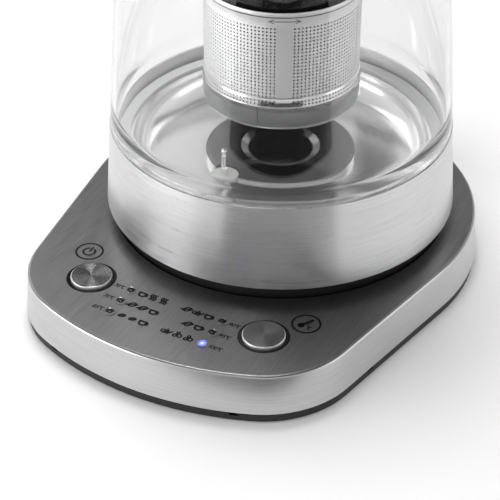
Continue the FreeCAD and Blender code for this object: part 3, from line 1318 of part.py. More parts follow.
def make_strainer_holder():
    """Tube under the lid with the lugs that the basket's tabs turn onto."""
    holder = new_body("strainer_holder")
    turn(holder, [
        ("holder_inner", "holder_bottom"), ("holder_radius", "holder_bottom"),
        ("holder_radius", "lid_bottom"), ("holder_inner", "lid_bottom")])
    lug = partial_ring(holder, "holder_radius - lug_root", "holder_radius + lug_reach",
                       "lug_top - lug_height", "lug_top", "lug")
    repeat_around(holder, [lug], "lug_count", "lugs")


def make_filler_cap():
    """Cap with a waisted knob whose top holds a steel button."""
    side = "filler_radius - filler_gap"
    turn(new_body("filler_cap"), [
        ("0", "knob_recess"), ("knob_trim_radius + knob_trim_gap", "knob_recess"),
        ("knob_trim_radius + knob_trim_gap", "knob_top"),
        ("knob_radius - knob_edge_radius", "knob_top", "-knob_edge_radius"),
        ("knob_radius", "knob_top - knob_edge_radius"),
        ("knob_radius", "knob_top - knob_side_height"),
        ("knob_waist", "knob_top - knob_waist_drop"), ("knob_waist", "lid_top + knob_waist_rise"),
        ("knob_radius", "filler_top"), (side, "filler_top"), (side, "filler_seat"),
        ("0", "filler_seat")])


def make_knob_trim():
    turn(new_body("knob_trim"), [
        ("0", "knob_recess"), ("knob_trim_radius", "knob_recess"),
        ("knob_trim_radius", "knob_top"), ("0", "knob_top")])


def make_filler_seal():
    inner, outer = "ledge_radius - filler_seal_reach", "ledge_radius - filler_seal_gap"
    low = "filler_seat - filler_seal_height"
    turn(new_body("filler_seal"), [
        (inner, "filler_seat"), (outer, "filler_seat"), (outer, low), (inner, low)])


# ---- strainer ---------------------------------------------------------------------------------

def make_strainer_basket():
    """Steel basket with a rolled rim and inward tabs that rest on the holder's lugs."""
    basket = new_body("strainer_basket")
    bead = "basket_radius + basket_bead"
    turn(basket, [
        ("0", "basket_floor"), ("basket_radius", "basket_floor"),
        ("basket_radius", "basket_top - basket_bead_height - basket_bead_slope"),
        (bead, "basket_top - basket_bead_height"), (bead, "basket_top"),
        ("basket_inner", "basket_top"), ("basket_inner", "basket_floor + basket_wall"),
        ("0", "basket_floor + basket_wall")])
    tab = partial_ring(basket, "holder_radius + tab_clear", "basket_inner + basket_wall / 2",
                       "tab_bottom", "tab_bottom + tab_height", "tab")
    repeat_around(basket, [tab], "lug_count", "tabs")


def make_strainer_foot():
    """Polished cup around the basket's lower end, open in the middle."""
    inner = "basket_radius + foot_fit"
    turn(new_body("strainer_foot"), [
        (inner, "foot_top"), (inner + " + foot_band_edge", "foot_top"),
        ("foot_radius_outer", "basket_bottom + foot_band_shoulder"),
        ("foot_radius_outer", "basket_bottom + foot_edge_radius", "-foot_edge_radius"),
        ("foot_radius_outer - foot_edge_radius", "basket_bottom"),
        ("foot_hole_radius", "basket_bottom"), ("foot_hole_radius", "basket_floor - foot_fit"),
        (inner, "basket_floor - foot_fit")])


# ---- whole object -----------------------------------------------------------------------------

def check_and_export():
    """Stops before writing if an object failed or a sub-part's solid isn't sound."""
    DOC.recompute()
    failed = [item.Name for item in DOC.Objects
              if "Invalid" in item.State or "Error" in item.State]
    unsound = [body.Label for body in PARTS
               if body.Shape.isNull() or not body.Shape.isValid() or not body.Shape.Solids]
    if failed or unsound:
        raise RuntimeError("failed: %s; unsound: %s" % (failed, unsound))
    os.makedirs("parts", exist_ok=True)
    for body in PARTS:
        body.Shape.exportStep("parts/%s.step" % body.Label)
        print("%-26s %9.1f mm3" % (body.Label, body.Shape.Volume))


def make_base():
    make_base_shell()
    make_base_tray()
    make_seat_frame()
    make_connector_tower()
    make_contact("connector_earth_sleeve", "tower_bore")
    make_contact("connector_live_ring", "ring_slot_outer")
    for name, where in zip(("power", "temperature"), button_places()):
        make_button(name, where)
    make_control_board()
    for degrees, where in zip((70, 75, 85, 90, 95, 100), lamp_places()):
        make_light_guide("light_guide_%dc" % degrees, where)
    for index, where in enumerate(foot_places(), start=1):
        make_foot("rubber_foot_%d" % index, where)
    make_cord_inlet()
    make_terminal_block()


def make_jug():
    make_socket_cup()
    make_socket_pin()
    make_socket_blade()
    make_jug_base_cover()
    make_jug_collar()
    make_heater_plate()
    make_floor_seal()
    make_heat_spreader()
    make_heating_element()
    make_probe_pin(("-probe_side", "-probe_front"))
    make_probe_grommet(("-probe_side", "-probe_front"))
    make_glass()
    make_top_band()
    make_spout_rim()
    make_handle_grip()
    make_handle_strip()


def make_lid():
    make_lid_cover()
    make_lid_trim()
    make_lid_inner()
    make_lid_seal()
    make_strainer_holder()
    make_filler_cap()
    make_knob_trim()
    make_filler_seal()


def main():
    fill_sheet()
    make_base()
    make_jug()
    make_lid()
    make_strainer_basket()
    make_strainer_foot()
    check_and_export()


main()
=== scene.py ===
"""Looks of an electric tea maker: glass jug, steel collar and strainer on a cordless base.

Everything is in metres in the CAD's own frame: +Z up, panel towards -Y, handle towards +Y.
Lengths below are written in millimetres and turned to metres by MM.
"""

import math

import bmesh
import bpy
from mathutils import Matrix, Vector


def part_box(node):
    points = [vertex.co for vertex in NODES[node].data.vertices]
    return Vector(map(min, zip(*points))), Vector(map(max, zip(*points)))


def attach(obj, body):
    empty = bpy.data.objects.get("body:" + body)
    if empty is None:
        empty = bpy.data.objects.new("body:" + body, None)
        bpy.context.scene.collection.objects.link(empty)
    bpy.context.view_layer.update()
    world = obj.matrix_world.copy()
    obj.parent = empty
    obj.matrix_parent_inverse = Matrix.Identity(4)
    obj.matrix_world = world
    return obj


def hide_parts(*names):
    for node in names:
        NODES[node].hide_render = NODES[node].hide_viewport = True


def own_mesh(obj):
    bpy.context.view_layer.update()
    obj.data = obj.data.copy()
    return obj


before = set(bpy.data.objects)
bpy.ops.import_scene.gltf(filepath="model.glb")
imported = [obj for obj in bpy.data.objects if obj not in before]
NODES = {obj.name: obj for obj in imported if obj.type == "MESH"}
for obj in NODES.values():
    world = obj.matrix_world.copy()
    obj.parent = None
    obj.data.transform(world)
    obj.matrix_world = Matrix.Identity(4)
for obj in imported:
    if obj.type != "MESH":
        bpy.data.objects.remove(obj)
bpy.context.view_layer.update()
MM = 0.001

# Places that several parts need, in millimetres.
PAN_TOP = 23.3
CAP_CENTRE, CAP_BEVEL = (41.5, -92.0), 8.55    # axis of a button's cap, and where its bevel starts
LAMP_X, LAMP_ROWS = 22.0, (-91.5, -99.7, -107.9)
LIT_LAMP = (LAMP_X, LAMP_ROWS[2])
LIT_HEART = 23.5           # height of the brightest spot in the lit lens


# ---- colour and shader helpers ----------------------------------------------------------------

def colour(text):
    """sRGB hex text to a linear RGBA colour."""
    parts = [int(text[i:i + 2], 16) / 255 for i in (1, 3, 5)]
    return [c / 12.92 if c <= 0.04045 else ((c + 0.055) / 1.055) ** 2.4 for c in parts] + [1.0]


def add(tree, kind, sets=None, links=None):
    """One node: sets fills its properties and sockets by name, links feeds sockets from outputs."""
    item = tree.nodes.new("ShaderNode" + kind)
    for name, value in (sets or {}).items():
        if isinstance(name, int) or name in item.inputs:
            item.inputs[name].default_value = value
        else:
            setattr(item, name, value)
    for name, source in (links or {}).items():
        tree.links.new(source, item.inputs[name])
    return item


def new_material(name):
    """An empty node material and its tree."""
    material = bpy.data.materials.new(name)
    material.use_nodes = True
    material.node_tree.nodes.clear()
    return material, material.node_tree


def close(tree, shader):
    add(tree, "OutputMaterial", links={"Surface": shader})


def brush_lines(tree, stretch, pitch):
    """Grey streaks: noise drawn out by stretch (x, y, z), with lines about pitch mm apart."""
    place = add(tree, "TexCoord").outputs["Object"]
    scaled = add(tree, "Mapping", {"Scale": [s / (pitch * MM) for s in stretch]}, {"Vector": place})
    noise = add(tree, "TexNoise", {"Scale": 1.0, "Detail": 3.0, "Roughness": 0.7},
                {"Vector": scaled.outputs["Vector"]})
    return noise.outputs["Fac"]


def brushed_metal(tree, lines, tints, rough, uneven, depth, aniso, turn, tangent=None):
    """Metal whose tint, roughness and height follow the brush lines."""
    limits = {"From Min": 0.3, "From Max": 0.7}
    tint = add(tree, "ValToRGB", links={
        "Fac": add(tree, "MapRange", limits, {"Value": lines}).outputs["Result"]})
    for end, shade in zip(tint.color_ramp.elements, tints):
        end.color = colour(shade)
    low_high = dict(limits, **{"To Min": rough - uneven, "To Max": rough + uneven})
    roughness = add(tree, "MapRange", low_high, {"Value": lines})
    bump = add(tree, "Bump", {"Strength": 0.4, "Distance": depth * MM}, {"Height": lines})
    links = {"Base Color": tint.outputs["Color"], "Roughness": roughness.outputs["Result"],
             "Normal": bump.outputs["Normal"]}
    if tangent:
        links["Tangent"] = tangent
    shader = add(tree, "BsdfPrincipled", {
        "Metallic": 1.0, "Anisotropic": aniso, "Anisotropic Rotation": turn}, links)
    return shader.outputs["BSDF"]


def inward_painted_light_and_shade(tree, outside, tint, rough):
    """Metal shader for faces turned towards the z axis, outside for all others. The inward faces
    get a tint of their own: painted light inside the collar, painted shade inside the strainer
    basket.
    """
    inside = add(tree, "BsdfPrincipled", {
        "Base Color": colour(tint), "Metallic": 1.0, "Roughness": rough})
    facing = add(tree, "VectorMath", {"operation": "DOT_PRODUCT"}, {
        0: add(tree, "NewGeometry").outputs["Normal"],
        1: add(tree, "TexCoord").outputs["Object"]})
    inward = add(tree, "Math", {"operation": "LESS_THAN", 1: 0.0}, {0: facing.outputs["Value"]})
    mixed = add(tree, "MixShader", links={
        0: inward.outputs["Value"], 1: outside, 2: inside.outputs["BSDF"]})
    return mixed.outputs["Shader"]


# ---- materials --------------------------------------------------------------------------------

AROUND_Z = {"direction_type": "RADIAL", "axis": "Z"}


def steel_brushed_round():
    """Stainless sheet brushed around its axis: soft upright highlights, fine level lines."""
    material, tree = new_material("stainless_steel_brushed_round")
    lines = brush_lines(tree, (0.015, 0.015, 1.0), 0.4)
    tangent = add(tree, "Tangent", AROUND_Z).outputs["Tangent"]
    brushed = brushed_metal(tree, lines, ("#c7c7c8", "#dbdbdc"), 0.31, 0.05, 0.008, 0.7, 0.25,
                            tangent)
    # The faces turned to the axis get a paler, rougher tint: painted light on the inner wall.
    close(tree, inward_painted_light_and_shade(tree, brushed, "#f2f2f2", 0.55))
    return material


def steel_brushed_pan():
    """Deep-drawn stainless pan: top brushed front to back, skirt brushed along its length."""
    material, tree = new_material("stainless_steel_brushed_pan")
    top = brush_lines(tree, (1.0, 0.02, 0.02), 0.3)
    skirt = brush_lines(tree, (0.015, 0.015, 1.0), 0.4)
    upward = add(tree, "SeparateXYZ", links={
        "Vector": add(tree, "NewGeometry").outputs["Normal"]}).outputs["Z"]
    on_top = add(tree, "MapRange", {"From Min": 0.6, "From Max": 0.8}, {"Value": upward})
    lines = add(tree, "Mix", {"data_type": "FLOAT"}, {
        0: on_top.outputs["Result"], 2: skirt, 3: top}).outputs[0]
    sides = brushed_metal(tree, lines, ("#bebebf", "#d0d0d1"), 0.32, 0.04, 0.006, 0.0, 0.0)
    # The top is a darker copy of the skirt's steel: painted shade on the top.
    level = brushed_metal(tree, lines, ("#8a8a8b", "#a0a0a1"), 0.34, 0.04, 0.004, 0.0, 0.0)
    mixed = add(tree, "MixShader", links={0: on_top.outputs["Result"], 1: sides, 2: level})
    close(tree, mixed.outputs["Shader"])
    return material


def steel_spun(name, centre, rim):
    """Stainless disc turned on a lathe: bright wedges from its middle, fine rings, and a bevel
    painted pale around the rim, a painted highlight.

    centre is the disc's axis in mm (its mirror image counts too); the bevel starts at rim.
    """
    material, tree = new_material(name)
    folded = add(tree, "VectorMath", {"operation": "ABSOLUTE"},
                 {0: add(tree, "TexCoord").outputs["Object"]})
    flat = add(tree, "VectorMath", {"operation": "MULTIPLY", 1: (1, -1, 0)},
               {0: folded.outputs["Vector"]})
    away = add(tree, "VectorMath", {
        "operation": "DISTANCE", 1: (centre[0] * MM, centre[1] * MM, 0)},
        {0: flat.outputs["Vector"]}).outputs["Value"]
    ring = add(tree, "Math", {"operation": "MULTIPLY", 1: 1.0 / (0.35 * MM)}, {0: away})
    rings = add(tree, "TexNoise", {"noise_dimensions": "1D", "Scale": 1.0, "Detail": 1.0},
                {"W": ring.outputs["Value"]})
    tangent = add(tree, "Tangent", AROUND_Z).outputs["Tangent"]
    face = brushed_metal(tree, rings.outputs["Fac"], ("#8d8d8e", "#a6a6a7"), 0.22, 0.03, 0.0005,
                         0.95, 0.25, tangent)
    # The bevel gets a much paler tint than the face: a painted highlight along the rim.
    bevel = add(tree, "BsdfPrincipled", {
        "Base Color": colour("#ececec"), "Metallic": 1.0, "Roughness": 0.5})
    outside = add(tree, "Math", {"operation": "GREATER_THAN", 1: rim * MM}, {0: away})
    mixed = add(tree, "MixShader", links={
        0: outside.outputs["Value"], 1: face, 2: bevel.outputs["BSDF"]})
    close(tree, mixed.outputs["Shader"])
    return material


def steel_polished(name, tint, rough, inner=None):
    """Stainless sheet polished after forming: clear reflections, slightly softened.

    inner is the tint of the faces turned to the axis: painted shade inside the part.
    """
    material, tree = new_material(name)
    place = add(tree, "TexCoord").outputs["Object"]
    waves = add(tree, "TexNoise", {"Scale": 1.0 / (9 * MM), "Detail": 1.0}, {"Vector": place})
    roughness = add(tree, "MapRange", {"To Min": rough * 0.8, "To Max": rough * 1.3},
                    {"Value": waves.outputs["Fac"]})
    shader = add(tree, "BsdfPrincipled", {"Base Color": colour(tint), "Metallic": 1.0},
                 {"Roughness": roughness.outputs["Result"]})
    shown = shader.outputs["BSDF"]
    close(tree, inward_painted_light_and_shade(tree, shown, inner, 0.6) if inner else shown)
    return material


def steel_floor():
    """Stainless floor of the jug: its raised disc is mirror polished and painted dark, a painted
    reflection of the shaded strainer above it; the dish around it satin.
    """
    material, tree = new_material("stainless_steel_pressed_floor")
    place = add(tree, "TexCoord").outputs["Object"]
    disc = 33.0
    flat = add(tree, "VectorMath", {"operation": "MULTIPLY", 1: (1, 1, 0)}, {0: place})
    outward = add(tree, "VectorMath", {"operation": "LENGTH"},
                  {0: flat.outputs["Vector"]}).outputs["Value"]
    rough = add(tree, "MapRange", {
        "From Min": disc * MM, "From Max": (disc + 0.6) * MM, "To Min": 0.11, "To Max": 0.2},
        {"Value": outward})
    edge = add(tree, "MapRange", {"From Min": disc * MM, "From Max": (disc + 0.3) * MM},
               {"Value": outward})
    tint = add(tree, "ValToRGB", links={"Fac": edge.outputs["Result"]})
    # The disc's dark tint is a painted reflection of the strainer's shaded underside; the dish
    # keeps the pale tint.
    tint.color_ramp.elements[0].color = colour("#747475")
    tint.color_ramp.elements[1].color = colour("#e6e6e6")
    shader = add(tree, "BsdfPrincipled", {"Metallic": 1.0},
                 {"Base Color": tint.outputs["Color"], "Roughness": rough.outputs["Result"]})
    close(tree, shader.outputs["BSDF"])
    return material


def plastic(name, tint, rough, grain, depth, ior=1.5):
    """Moulded plastic: grain is the size of the mould's spark texture in mm."""
    material, tree = new_material(name)
    place = add(tree, "TexCoord").outputs["Object"]
    spark = add(tree, "TexNoise", {"Scale": 1.0 / (grain * MM), "Detail": 2.0}, {"Vector": place})
    bump = add(tree, "Bump", {"Strength": 0.3, "Distance": depth * MM},
               {"Height": spark.outputs["Fac"]})
    roughness = add(tree, "MapRange", {"To Min": rough * 0.85, "To Max": rough * 1.15},
                    {"Value": spark.outputs["Fac"]})
    shader = add(tree, "BsdfPrincipled", {"Base Color": colour(tint), "IOR": ior},
                 {"Roughness": roughness.outputs["Result"], "Normal": bump.outputs["Normal"]})
    close(tree, shader.outputs["BSDF"])
    return material


def borosilicate_glass():
    """Blown borosilicate glass, clear; lamps shine straight through it."""
    material, tree = new_material("borosilicate_glass_clear")
    shader = add(tree, "BsdfPrincipled", {
        "Base Color": colour("#f5f5f5"), "Roughness": 0.0, "IOR": 1.47,
        "Transmission Weight": 1.0})
    through = add(tree, "BsdfTransparent", {"Color": colour("#fafafa")})
    is_shadow = add(tree, "LightPath").outputs["Is Shadow Ray"]
    mixed = add(tree, "MixShader", links={
        0: is_shadow, 1: shader.outputs["BSDF"], 2: through.outputs["BSDF"]})
    close(tree, mixed.outputs["Shader"])
    return material


def silicone(name, tint):
    """Moulded silicone: satin, light passes a little way in."""
    material, tree = new_material(name)
    place = add(tree, "TexCoord").outputs["Object"]
    bloom = add(tree, "TexNoise", {"Scale": 1.0 / (1.5 * MM), "Detail": 2.0}, {"Vector": place})
    roughness = add(tree, "MapRange", {"To Min": 0.38, "To Max": 0.5},
                    {"Value": bloom.outputs["Fac"]})
    shader = add(tree, "BsdfPrincipled", {
        "Base Color": colour(tint), "IOR": 1.41, "Subsurface Weight": 0.25,
        "Subsurface Scale": 1.5 * MM}, {"Roughness": roughness.outputs["Result"]})
    close(tree, shader.outputs["BSDF"])
    return material


def ring_painted_glow():
    """Ring around the lit lens, given a faint violet-blue glow of its own: painted light standing
    in for the lens's light on the ring.
    """
    material, tree = new_material("lamp_ring_painted_glow")
    shader = add(tree, "BsdfPrincipled", {
        "Base Color": colour("#8f96c8"), "Roughness": 0.2, "IOR": 1.49,
        "Emission Color": colour("#5a66ff"), "Emission Strength": 0.5})
    close(tree, shader.outputs["BSDF"])
    return material


def lit_lens():
    """Frosted acrylic lens with its lamp on: pale in the middle, violet-blue towards its edge."""
    material, tree = new_material("acrylic_frosted_lit")
    place = add(tree, "TexCoord").outputs["Object"]
    heart = [length * MM for length in (*LIT_LAMP, LIT_HEART)]
    away = add(tree, "VectorMath", {"operation": "DISTANCE", 1: heart}, {0: place})
    across = add(tree, "MapRange", {"From Min": 0.1 * MM, "From Max": 1.5 * MM},
                 {"Value": away.outputs["Value"]})
    glow = add(tree, "ValToRGB", links={"Fac": across.outputs["Result"]})
    glow.color_ramp.elements[0].color = colour("#e6ecff")
    glow.color_ramp.elements[1].color = colour("#5560ff")
    shader = add(tree, "BsdfPrincipled", {
        "Base Color": colour("#20264a"), "Roughness": 0.4, "IOR": 1.49,
        "Emission Strength": 1.25}, {"Emission Color": glow.outputs["Color"]})
    close(tree, shader.outputs["BSDF"])
    return material


def printed_ink(name, dark, light):
    """Screen print or laser mark: flat, a little rough, with faint pinholes."""
    material, tree = new_material(name)
    place = add(tree, "TexCoord").outputs["Object"]
    specks = add(tree, "TexNoise", {"Scale": 1.0 / (0.4 * MM), "Detail": 2.0}, {"Vector": place})
    tone = add(tree, "ValToRGB", links={"Fac": specks.outputs["Fac"]})
    tone.color_ramp.elements[0].color = colour(dark)
    tone.color_ramp.elements[1].color = colour(light)
    shader = add(tree, "BsdfPrincipled", {"Roughness": 0.7, "IOR": 1.4},
                 {"Base Color": tone.outputs["Color"]})
    close(tree, shader.outputs["BSDF"])
    return material


NO_BEVEL = 200.0           # outside any disc

STEEL_ROUND = steel_brushed_round()
STEEL_PAN = steel_brushed_pan()
STEEL_SPUN_CAP = steel_spun("stainless_steel_spun_cap", CAP_CENTRE, CAP_BEVEL)
STEEL_SPUN_KNOB = steel_spun("stainless_steel_spun_knob", (0, 0), NO_BEVEL)
STEEL_FLOOR = steel_floor()
# The darker inner tint is painted shade inside the basket, so that its holes read dark.
STEEL_STRAINER = steel_polished("stainless_steel_perforated", "#ececec", 0.5, "#5e5e60")
STEEL_FOOT = steel_polished("stainless_steel_mirror", "#dedede", 0.17)
STEEL_PIN = steel_polished("stainless_steel_turned", "#f2f2f2", 0.08)
BRASS = steel_polished("brass_plated", "#d8b25a", 0.25)
ALUMINIUM = steel_polished("aluminium_cast", "#b9bbbe", 0.42)
BLACK_MATT = plastic("polypropylene_moulded_black", "#1b1b1c", 0.55, 0.35, 0.01)
BLACK_GLOSS = plastic("abs_moulded_gloss_black", "#101011", 0.16, 2.5, 0.002)
GREY_MATT = plastic("nylon_moulded_grey", "#3a3a3c", 0.5, 0.4, 0.01)
RUBBER = plastic("rubber_moulded_black", "#161616", 0.8, 0.5, 0.02)
BOARD = plastic("circuit_board_green", "#1d5a35", 0.35, 0.8, 0.005)
SMOKED = plastic("acrylic_frosted_unlit", "#3c3d40", 0.3, 0.6, 0.004, 1.49)
GLASS = borosilicate_glass()
SILICONE_WHITE = silicone("silicone_moulded_white", "#f3f3f1")
SILICONE_GREY = silicone("silicone_moulded_grey", "#c3c6c6")
LIT = lit_lens()
RING_PAINTED_GLOW = ring_painted_glow()
LAMP_RING = steel_polished("steel_plated_dark", "#77787b", 0.16)
LENS_DARK = plastic("acrylic_polished_dark", "#0c0c0e", 0.05, 1.5, 0.001, 1.49)
STEEL_SCREW = steel_polished("steel_screw_plated", "#8d8f92", 0.3)
INK = printed_ink("screen_print_black", "#060606", "#101011")
INK_FAINT = printed_ink("steel_laser_marked", "#6a6a6b", "#8c8c8d")

FINISHES = [
    (STEEL_ROUND, ["jug_collar", "top_band", "lid_trim", "handle_strip"]),
    (STEEL_PAN, ["base_shell"]),
    (STEEL_SPUN_CAP, ["power_button_cap", "temperature_button_cap"]),
    (STEEL_SPUN_KNOB, ["knob_trim"]),
    (STEEL_FLOOR, ["heater_plate"]),
    (STEEL_PIN, ["probe_pin"]),
    (BRASS, ["connector_earth_sleeve", "connector_live_ring", "socket_pin", "socket_blade"]),
    (ALUMINIUM, ["heat_spreader", "heating_element"]),
    (BLACK_MATT, ["base_tray", "seat_frame", "jug_base_cover", "connector_tower", "socket_cup",
                  "terminal_block", "cord_inlet"]),
    (BLACK_GLOSS, ["power_bezel", "temperature_bezel", "handle_grip", "lid_cover", "lid_inner",
                   "strainer_holder", "filler_cap", "spout_rim"]),
    (GREY_MATT, ["power_button_stem", "temperature_button_stem"]),
    (RUBBER, ["rubber_foot_%d" % n for n in range(1, 6)]),
    (BOARD, ["control_board", "power_switch", "temperature_switch"]),
    (SMOKED, ["light_guide_%dc" % n for n in (70, 75, 85, 90, 95)]),
    (LIT, ["light_guide_100c"]),
    (SILICONE_WHITE, ["probe_grommet"]),
    (SILICONE_GREY, ["floor_seal", "lid_seal", "filler_seal"]),
]
for finish, names in FINISHES:
    for name in names:
        for slot in NODES[name].material_slots:
            slot.material = finish


# ---- mesh helpers -----------------------------------------------------------------------------

def piece(name, points, faces, materials, body, smooth=None, kinds=None):
    """A mesh object that rides on body.

    smooth is the angle in degrees up to which edges blend; kinds gives each face's material.
    """
    mesh = bpy.data.meshes.new(name)
    mesh.from_pydata([tuple(p) for p in points], [], faces)
    for material in materials:
        mesh.materials.append(material)
    if kinds:
        mesh.polygons.foreach_set("material_index", kinds)
    item = bpy.data.objects.new(name, mesh)
    bpy.context.scene.collection.objects.link(item)
    if smooth:
        mesh.shade_smooth()
        mesh.set_sharp_from_angle(angle=math.radians(smooth))
    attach(item, body)
    return item


def on_ring(radius, angle, height):
    return (radius * math.cos(angle) * MM, radius * math.sin(angle) * MM, height * MM)


def turned(profile, sides, middle=(0, 0), closed=True):
    """Points and faces of an outline of (radius, height) turned about an upright axis."""
    points, faces, rings = [], [], []
    for radius, height in profile:
        if radius == 0:
            rings.append([len(points)] * sides)
            points.append((middle[0] * MM, middle[1] * MM, height * MM))
            continue
        rings.append(range(len(points), len(points) + sides))
        for k in range(sides):
            x, y, z = on_ring(radius, math.tau * k / sides, height)
            points.append((x + middle[0] * MM, y + middle[1] * MM, z))
    pairs = list(zip(rings, rings[1:])) + ([(rings[-1], rings[0])] if closed else [])
    for low, high in pairs:
        for k in range(sides):
            face = [low[k], low[(k + 1) % sides], high[(k + 1) % sides], high[k]]
            faces.append(list(dict.fromkeys(face)))
    return points, [face for face in faces if len(face) > 2]


def arc(start, end, radius, steps):
    """Points between two profile points on a circle whose middle lies on the left of the way."""
    first, last = Vector(start), Vector(end)
    half = (last - first) / 2
    left = Vector((-half.y, half.x)).normalized() * (1 if radius > 0 else -1)
    centre = first + half + left * math.sqrt(radius ** 2 - half.length_squared)
    begin = math.atan2(*(first - centre).yx)
    sweep = (math.atan2(*(last - centre).yx) - begin + math.pi) % math.tau - math.pi
    return [(centre.x + abs(radius) * math.cos(begin + sweep * k / steps),
             centre.y + abs(radius) * math.sin(begin + sweep * k / steps))
            for k in range(steps + 1)]


# ---- glass body -------------------------------------------------------------------------------

def make_glass_body():
    """Blown wall with a fire-polished mouth, ground neck and the moulded ring at its foot."""
    neck, foot, shoulder, low, top, wall = 73.9, 56.0, 68.2, 74.75, 205.0, 2.4
    bow, steps, sides = 1800, 40, 288
    outside = arc((low, 68.5), (61.8, top - 1.0), bow, steps)
    mouth = [(61.3, top - 0.25), (60.6, top), (59.9, top - 0.25)]
    inside = arc((59.4, top - 1.0), (71.88, 76.4), -(bow - wall), steps)
    ring = [(71.45, 74.6), (71.15, 73.2), (71.1, 72.4), (71.1, 70.0), (71.2, 69.0), (71.7, 68.2),
            (72.0, 67.4)]
    points, faces = turned([(neck, foot + 0.3), (neck, shoulder), (low - 0.25, shoulder + 0.05)]
                           + outside + mouth + inside + ring
                           + [(72.0, foot + 0.3), (72.3, foot), (neck - 0.3, foot)], sides)
    glass = piece("glass_body_blown", points, faces, [GLASS], "jug", smooth=35)
    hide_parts("glass_body")


make_glass_body()


# ---- return domes -----------------------------------------------------------------------------


def make_return_dome(button):
    """Silicone dome under a button's stem: it gives way a little more than it is pressed."""
    node = button + "_return_dome"
    low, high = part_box(node)
    x, y = (low.x + high.x) / 2 / MM, (low.y + high.y) / 2 / MM
    foot, top = low.z / MM, high.z / MM
    outer = [(7.4, foot), (7.4, foot + 0.35), (7.1, foot + 0.6)]
    outer += arc((6.6, foot + 0.9), (4.2, top - 0.5), -9.0, 6) + [(4.2, top)]
    inner = [(3.4, top), (3.4, top - 0.4)] + arc((3.4, top - 0.7), (5.9, foot + 0.4), 9.0, 6)
    points, faces = turned(outer + inner + [(6.3, foot)], 72, (x, y))
    dome = piece(node + "_moulded", points, faces, [SILICONE_WHITE], "base",
                 smooth=40)
    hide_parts(node)
    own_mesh(dome)


for button in ("power", "temperature"):
    make_return_dome(button)


# ---- strainer ---------------------------------------------------------------------------------

BASKET_RADIUS = 33.3       # outer face of the perforated wall
BASKET_SHEET = 0.5
BASKET_FLOOR = 80.6
BASKET_TOP = 134.0
HOLE_RADIUS = 0.4
HOLE_SIDES = 8
HOLE_COLUMNS = 130
HOLE_PITCH = 1.56          # along a column; the columns are 1.61 apart
HOLE_ROWS = 21
HOLES_FROM = 94.9          # lower edge of the perforated band
PLAIN_COLUMNS = 4          # plain strip where the sheet's ends meet
PLAIN_MIDDLE = -60.5       # its direction about the axis, degrees
ARROW_HEIGHT = 130.2
COLUMN_STEP = math.tau / HOLE_COLUMNS
FIRST_COLUMN = math.radians(PLAIN_MIDDLE) + COLUMN_STEP * PLAIN_COLUMNS / 2


def zipper(outer, inner):
    """Triangles between two rings of 2-D points around the origin, as (ring, index) triples."""
    def in_order(ring):
        ways = [math.atan2(p[1], p[0]) % math.tau for p in ring]
        order = sorted(range(len(ring)), key=lambda i: ways[i])
        return order, [ways[i] for i in order] + [ways[order[0]] + math.tau]

    outer_order, outer_ways = in_order(outer)
    inner_order, inner_ways = in_order(inner)
    triangles = []
    i = j = 0
    while i < len(outer) or j < len(inner):
        here = outer_order[i % len(outer)], inner_order[j % len(inner)]
        if j == len(inner) or (i < len(outer) and outer_ways[i + 1] <= inner_ways[j + 1]):
            i += 1
            triangles.append((("o", here[0]), ("o", outer_order[i % len(outer)]), ("i", here[1])))
        else:
            j += 1
            triangles.append((("o", here[0]), ("i", inner_order[j % len(inner)]), ("i", here[1])))
    return triangles


class Sheet:
    """Rings of points around the axis, one point per column, and the faces between them."""

    def __init__(self):
        self.points, self.faces = [], []

    def at(self, radius, angle, height):
        self.points.append(on_ring(radius, angle, height))
        return len(self.points) - 1

    def ring(self, radius, height):
        return [self.at(radius, FIRST_COLUMN + COLUMN_STEP * c, height)
                for c in range(HOLE_COLUMNS)]

    def join(self, lower, upper):
        for c in range(HOLE_COLUMNS):
            after = (c + 1) % HOLE_COLUMNS
            self.faces.append([lower[c], lower[after], upper[after], upper[c]])

    def lathe(self, profile, start, end=None):
        """Rings of the profile from the ring start, and on to the ring end if there is one."""
        for radius, height in profile:
            ring = self.ring(radius, height)
            self.join(start, ring)
            start = ring
        if end:
            self.join(start, end)
        return start

    def perforate(self, low, high, rows, sheet):
        """Conical band between (radius, height) low and high; every hole goes through the sheet.

        Returns its outer and inner rings as ((outer low, outer high), (inner low, inner high)).
        """
        pitch = (high[1] - low[1]) / rows

        def radius_at(height):
            return low[0] + (high[0] - low[0]) * (height - low[1]) / (high[1] - low[1])

        grid = [[self.ring(radius_at(low[1] + pitch * n) - inset, low[1] + pitch * n)
                 for n in range(rows + 1)] for inset in (0, sheet)]
        width = BASKET_RADIUS * COLUMN_STEP
        outline = [(x, y) for x in (-width / 2, width / 2) for y in (-pitch / 2, pitch / 2)]
        circle = [(HOLE_RADIUS * math.cos(math.tau * (k + 0.5) / HOLE_SIDES),
                   HOLE_RADIUS * math.sin(math.tau * (k + 0.5) / HOLE_SIDES))
                  for k in range(HOLE_SIDES)]
        triangles = zipper(outline, circle)

        for column in range(HOLE_COLUMNS):
            after = (column + 1) % HOLE_COLUMNS
            middle = FIRST_COLUMN + COLUMN_STEP * (column + 0.5)
            for row in range(rows):
                rims = []
                height = low[1] + pitch * (row + 0.5)
                for side, inset in enumerate((0, sheet)):
                    edge = [grid[side][row + k][c] for c in (column, after) for k in (0, 1)]
                    if column >= HOLE_COLUMNS - PLAIN_COLUMNS:
                        quad = [edge[0], edge[2], edge[3], edge[1]]
                        self.faces.append(quad if side == 0 else quad[::-1])
                        continue
                    rim = [self.at(radius_at(height + y) - inset, middle + x / BASKET_RADIUS,
                                   height + y) for x, y in circle]
                    rims.append(rim)
                    for triangle in triangles:
                        face = [edge[k] if ring == "o" else rim[k] for ring, k in triangle]
                        self.faces.append(face if side == 0 else face[::-1])
                if rims:
                    for k in range(HOLE_SIDES):
                        over = (k + 1) % HOLE_SIDES
                        self.faces.append([rims[0][k], rims[0][over], rims[1][over], rims[1][k]])
        return (grid[0][0], grid[0][-1]), (grid[1][0], grid[1][-1])


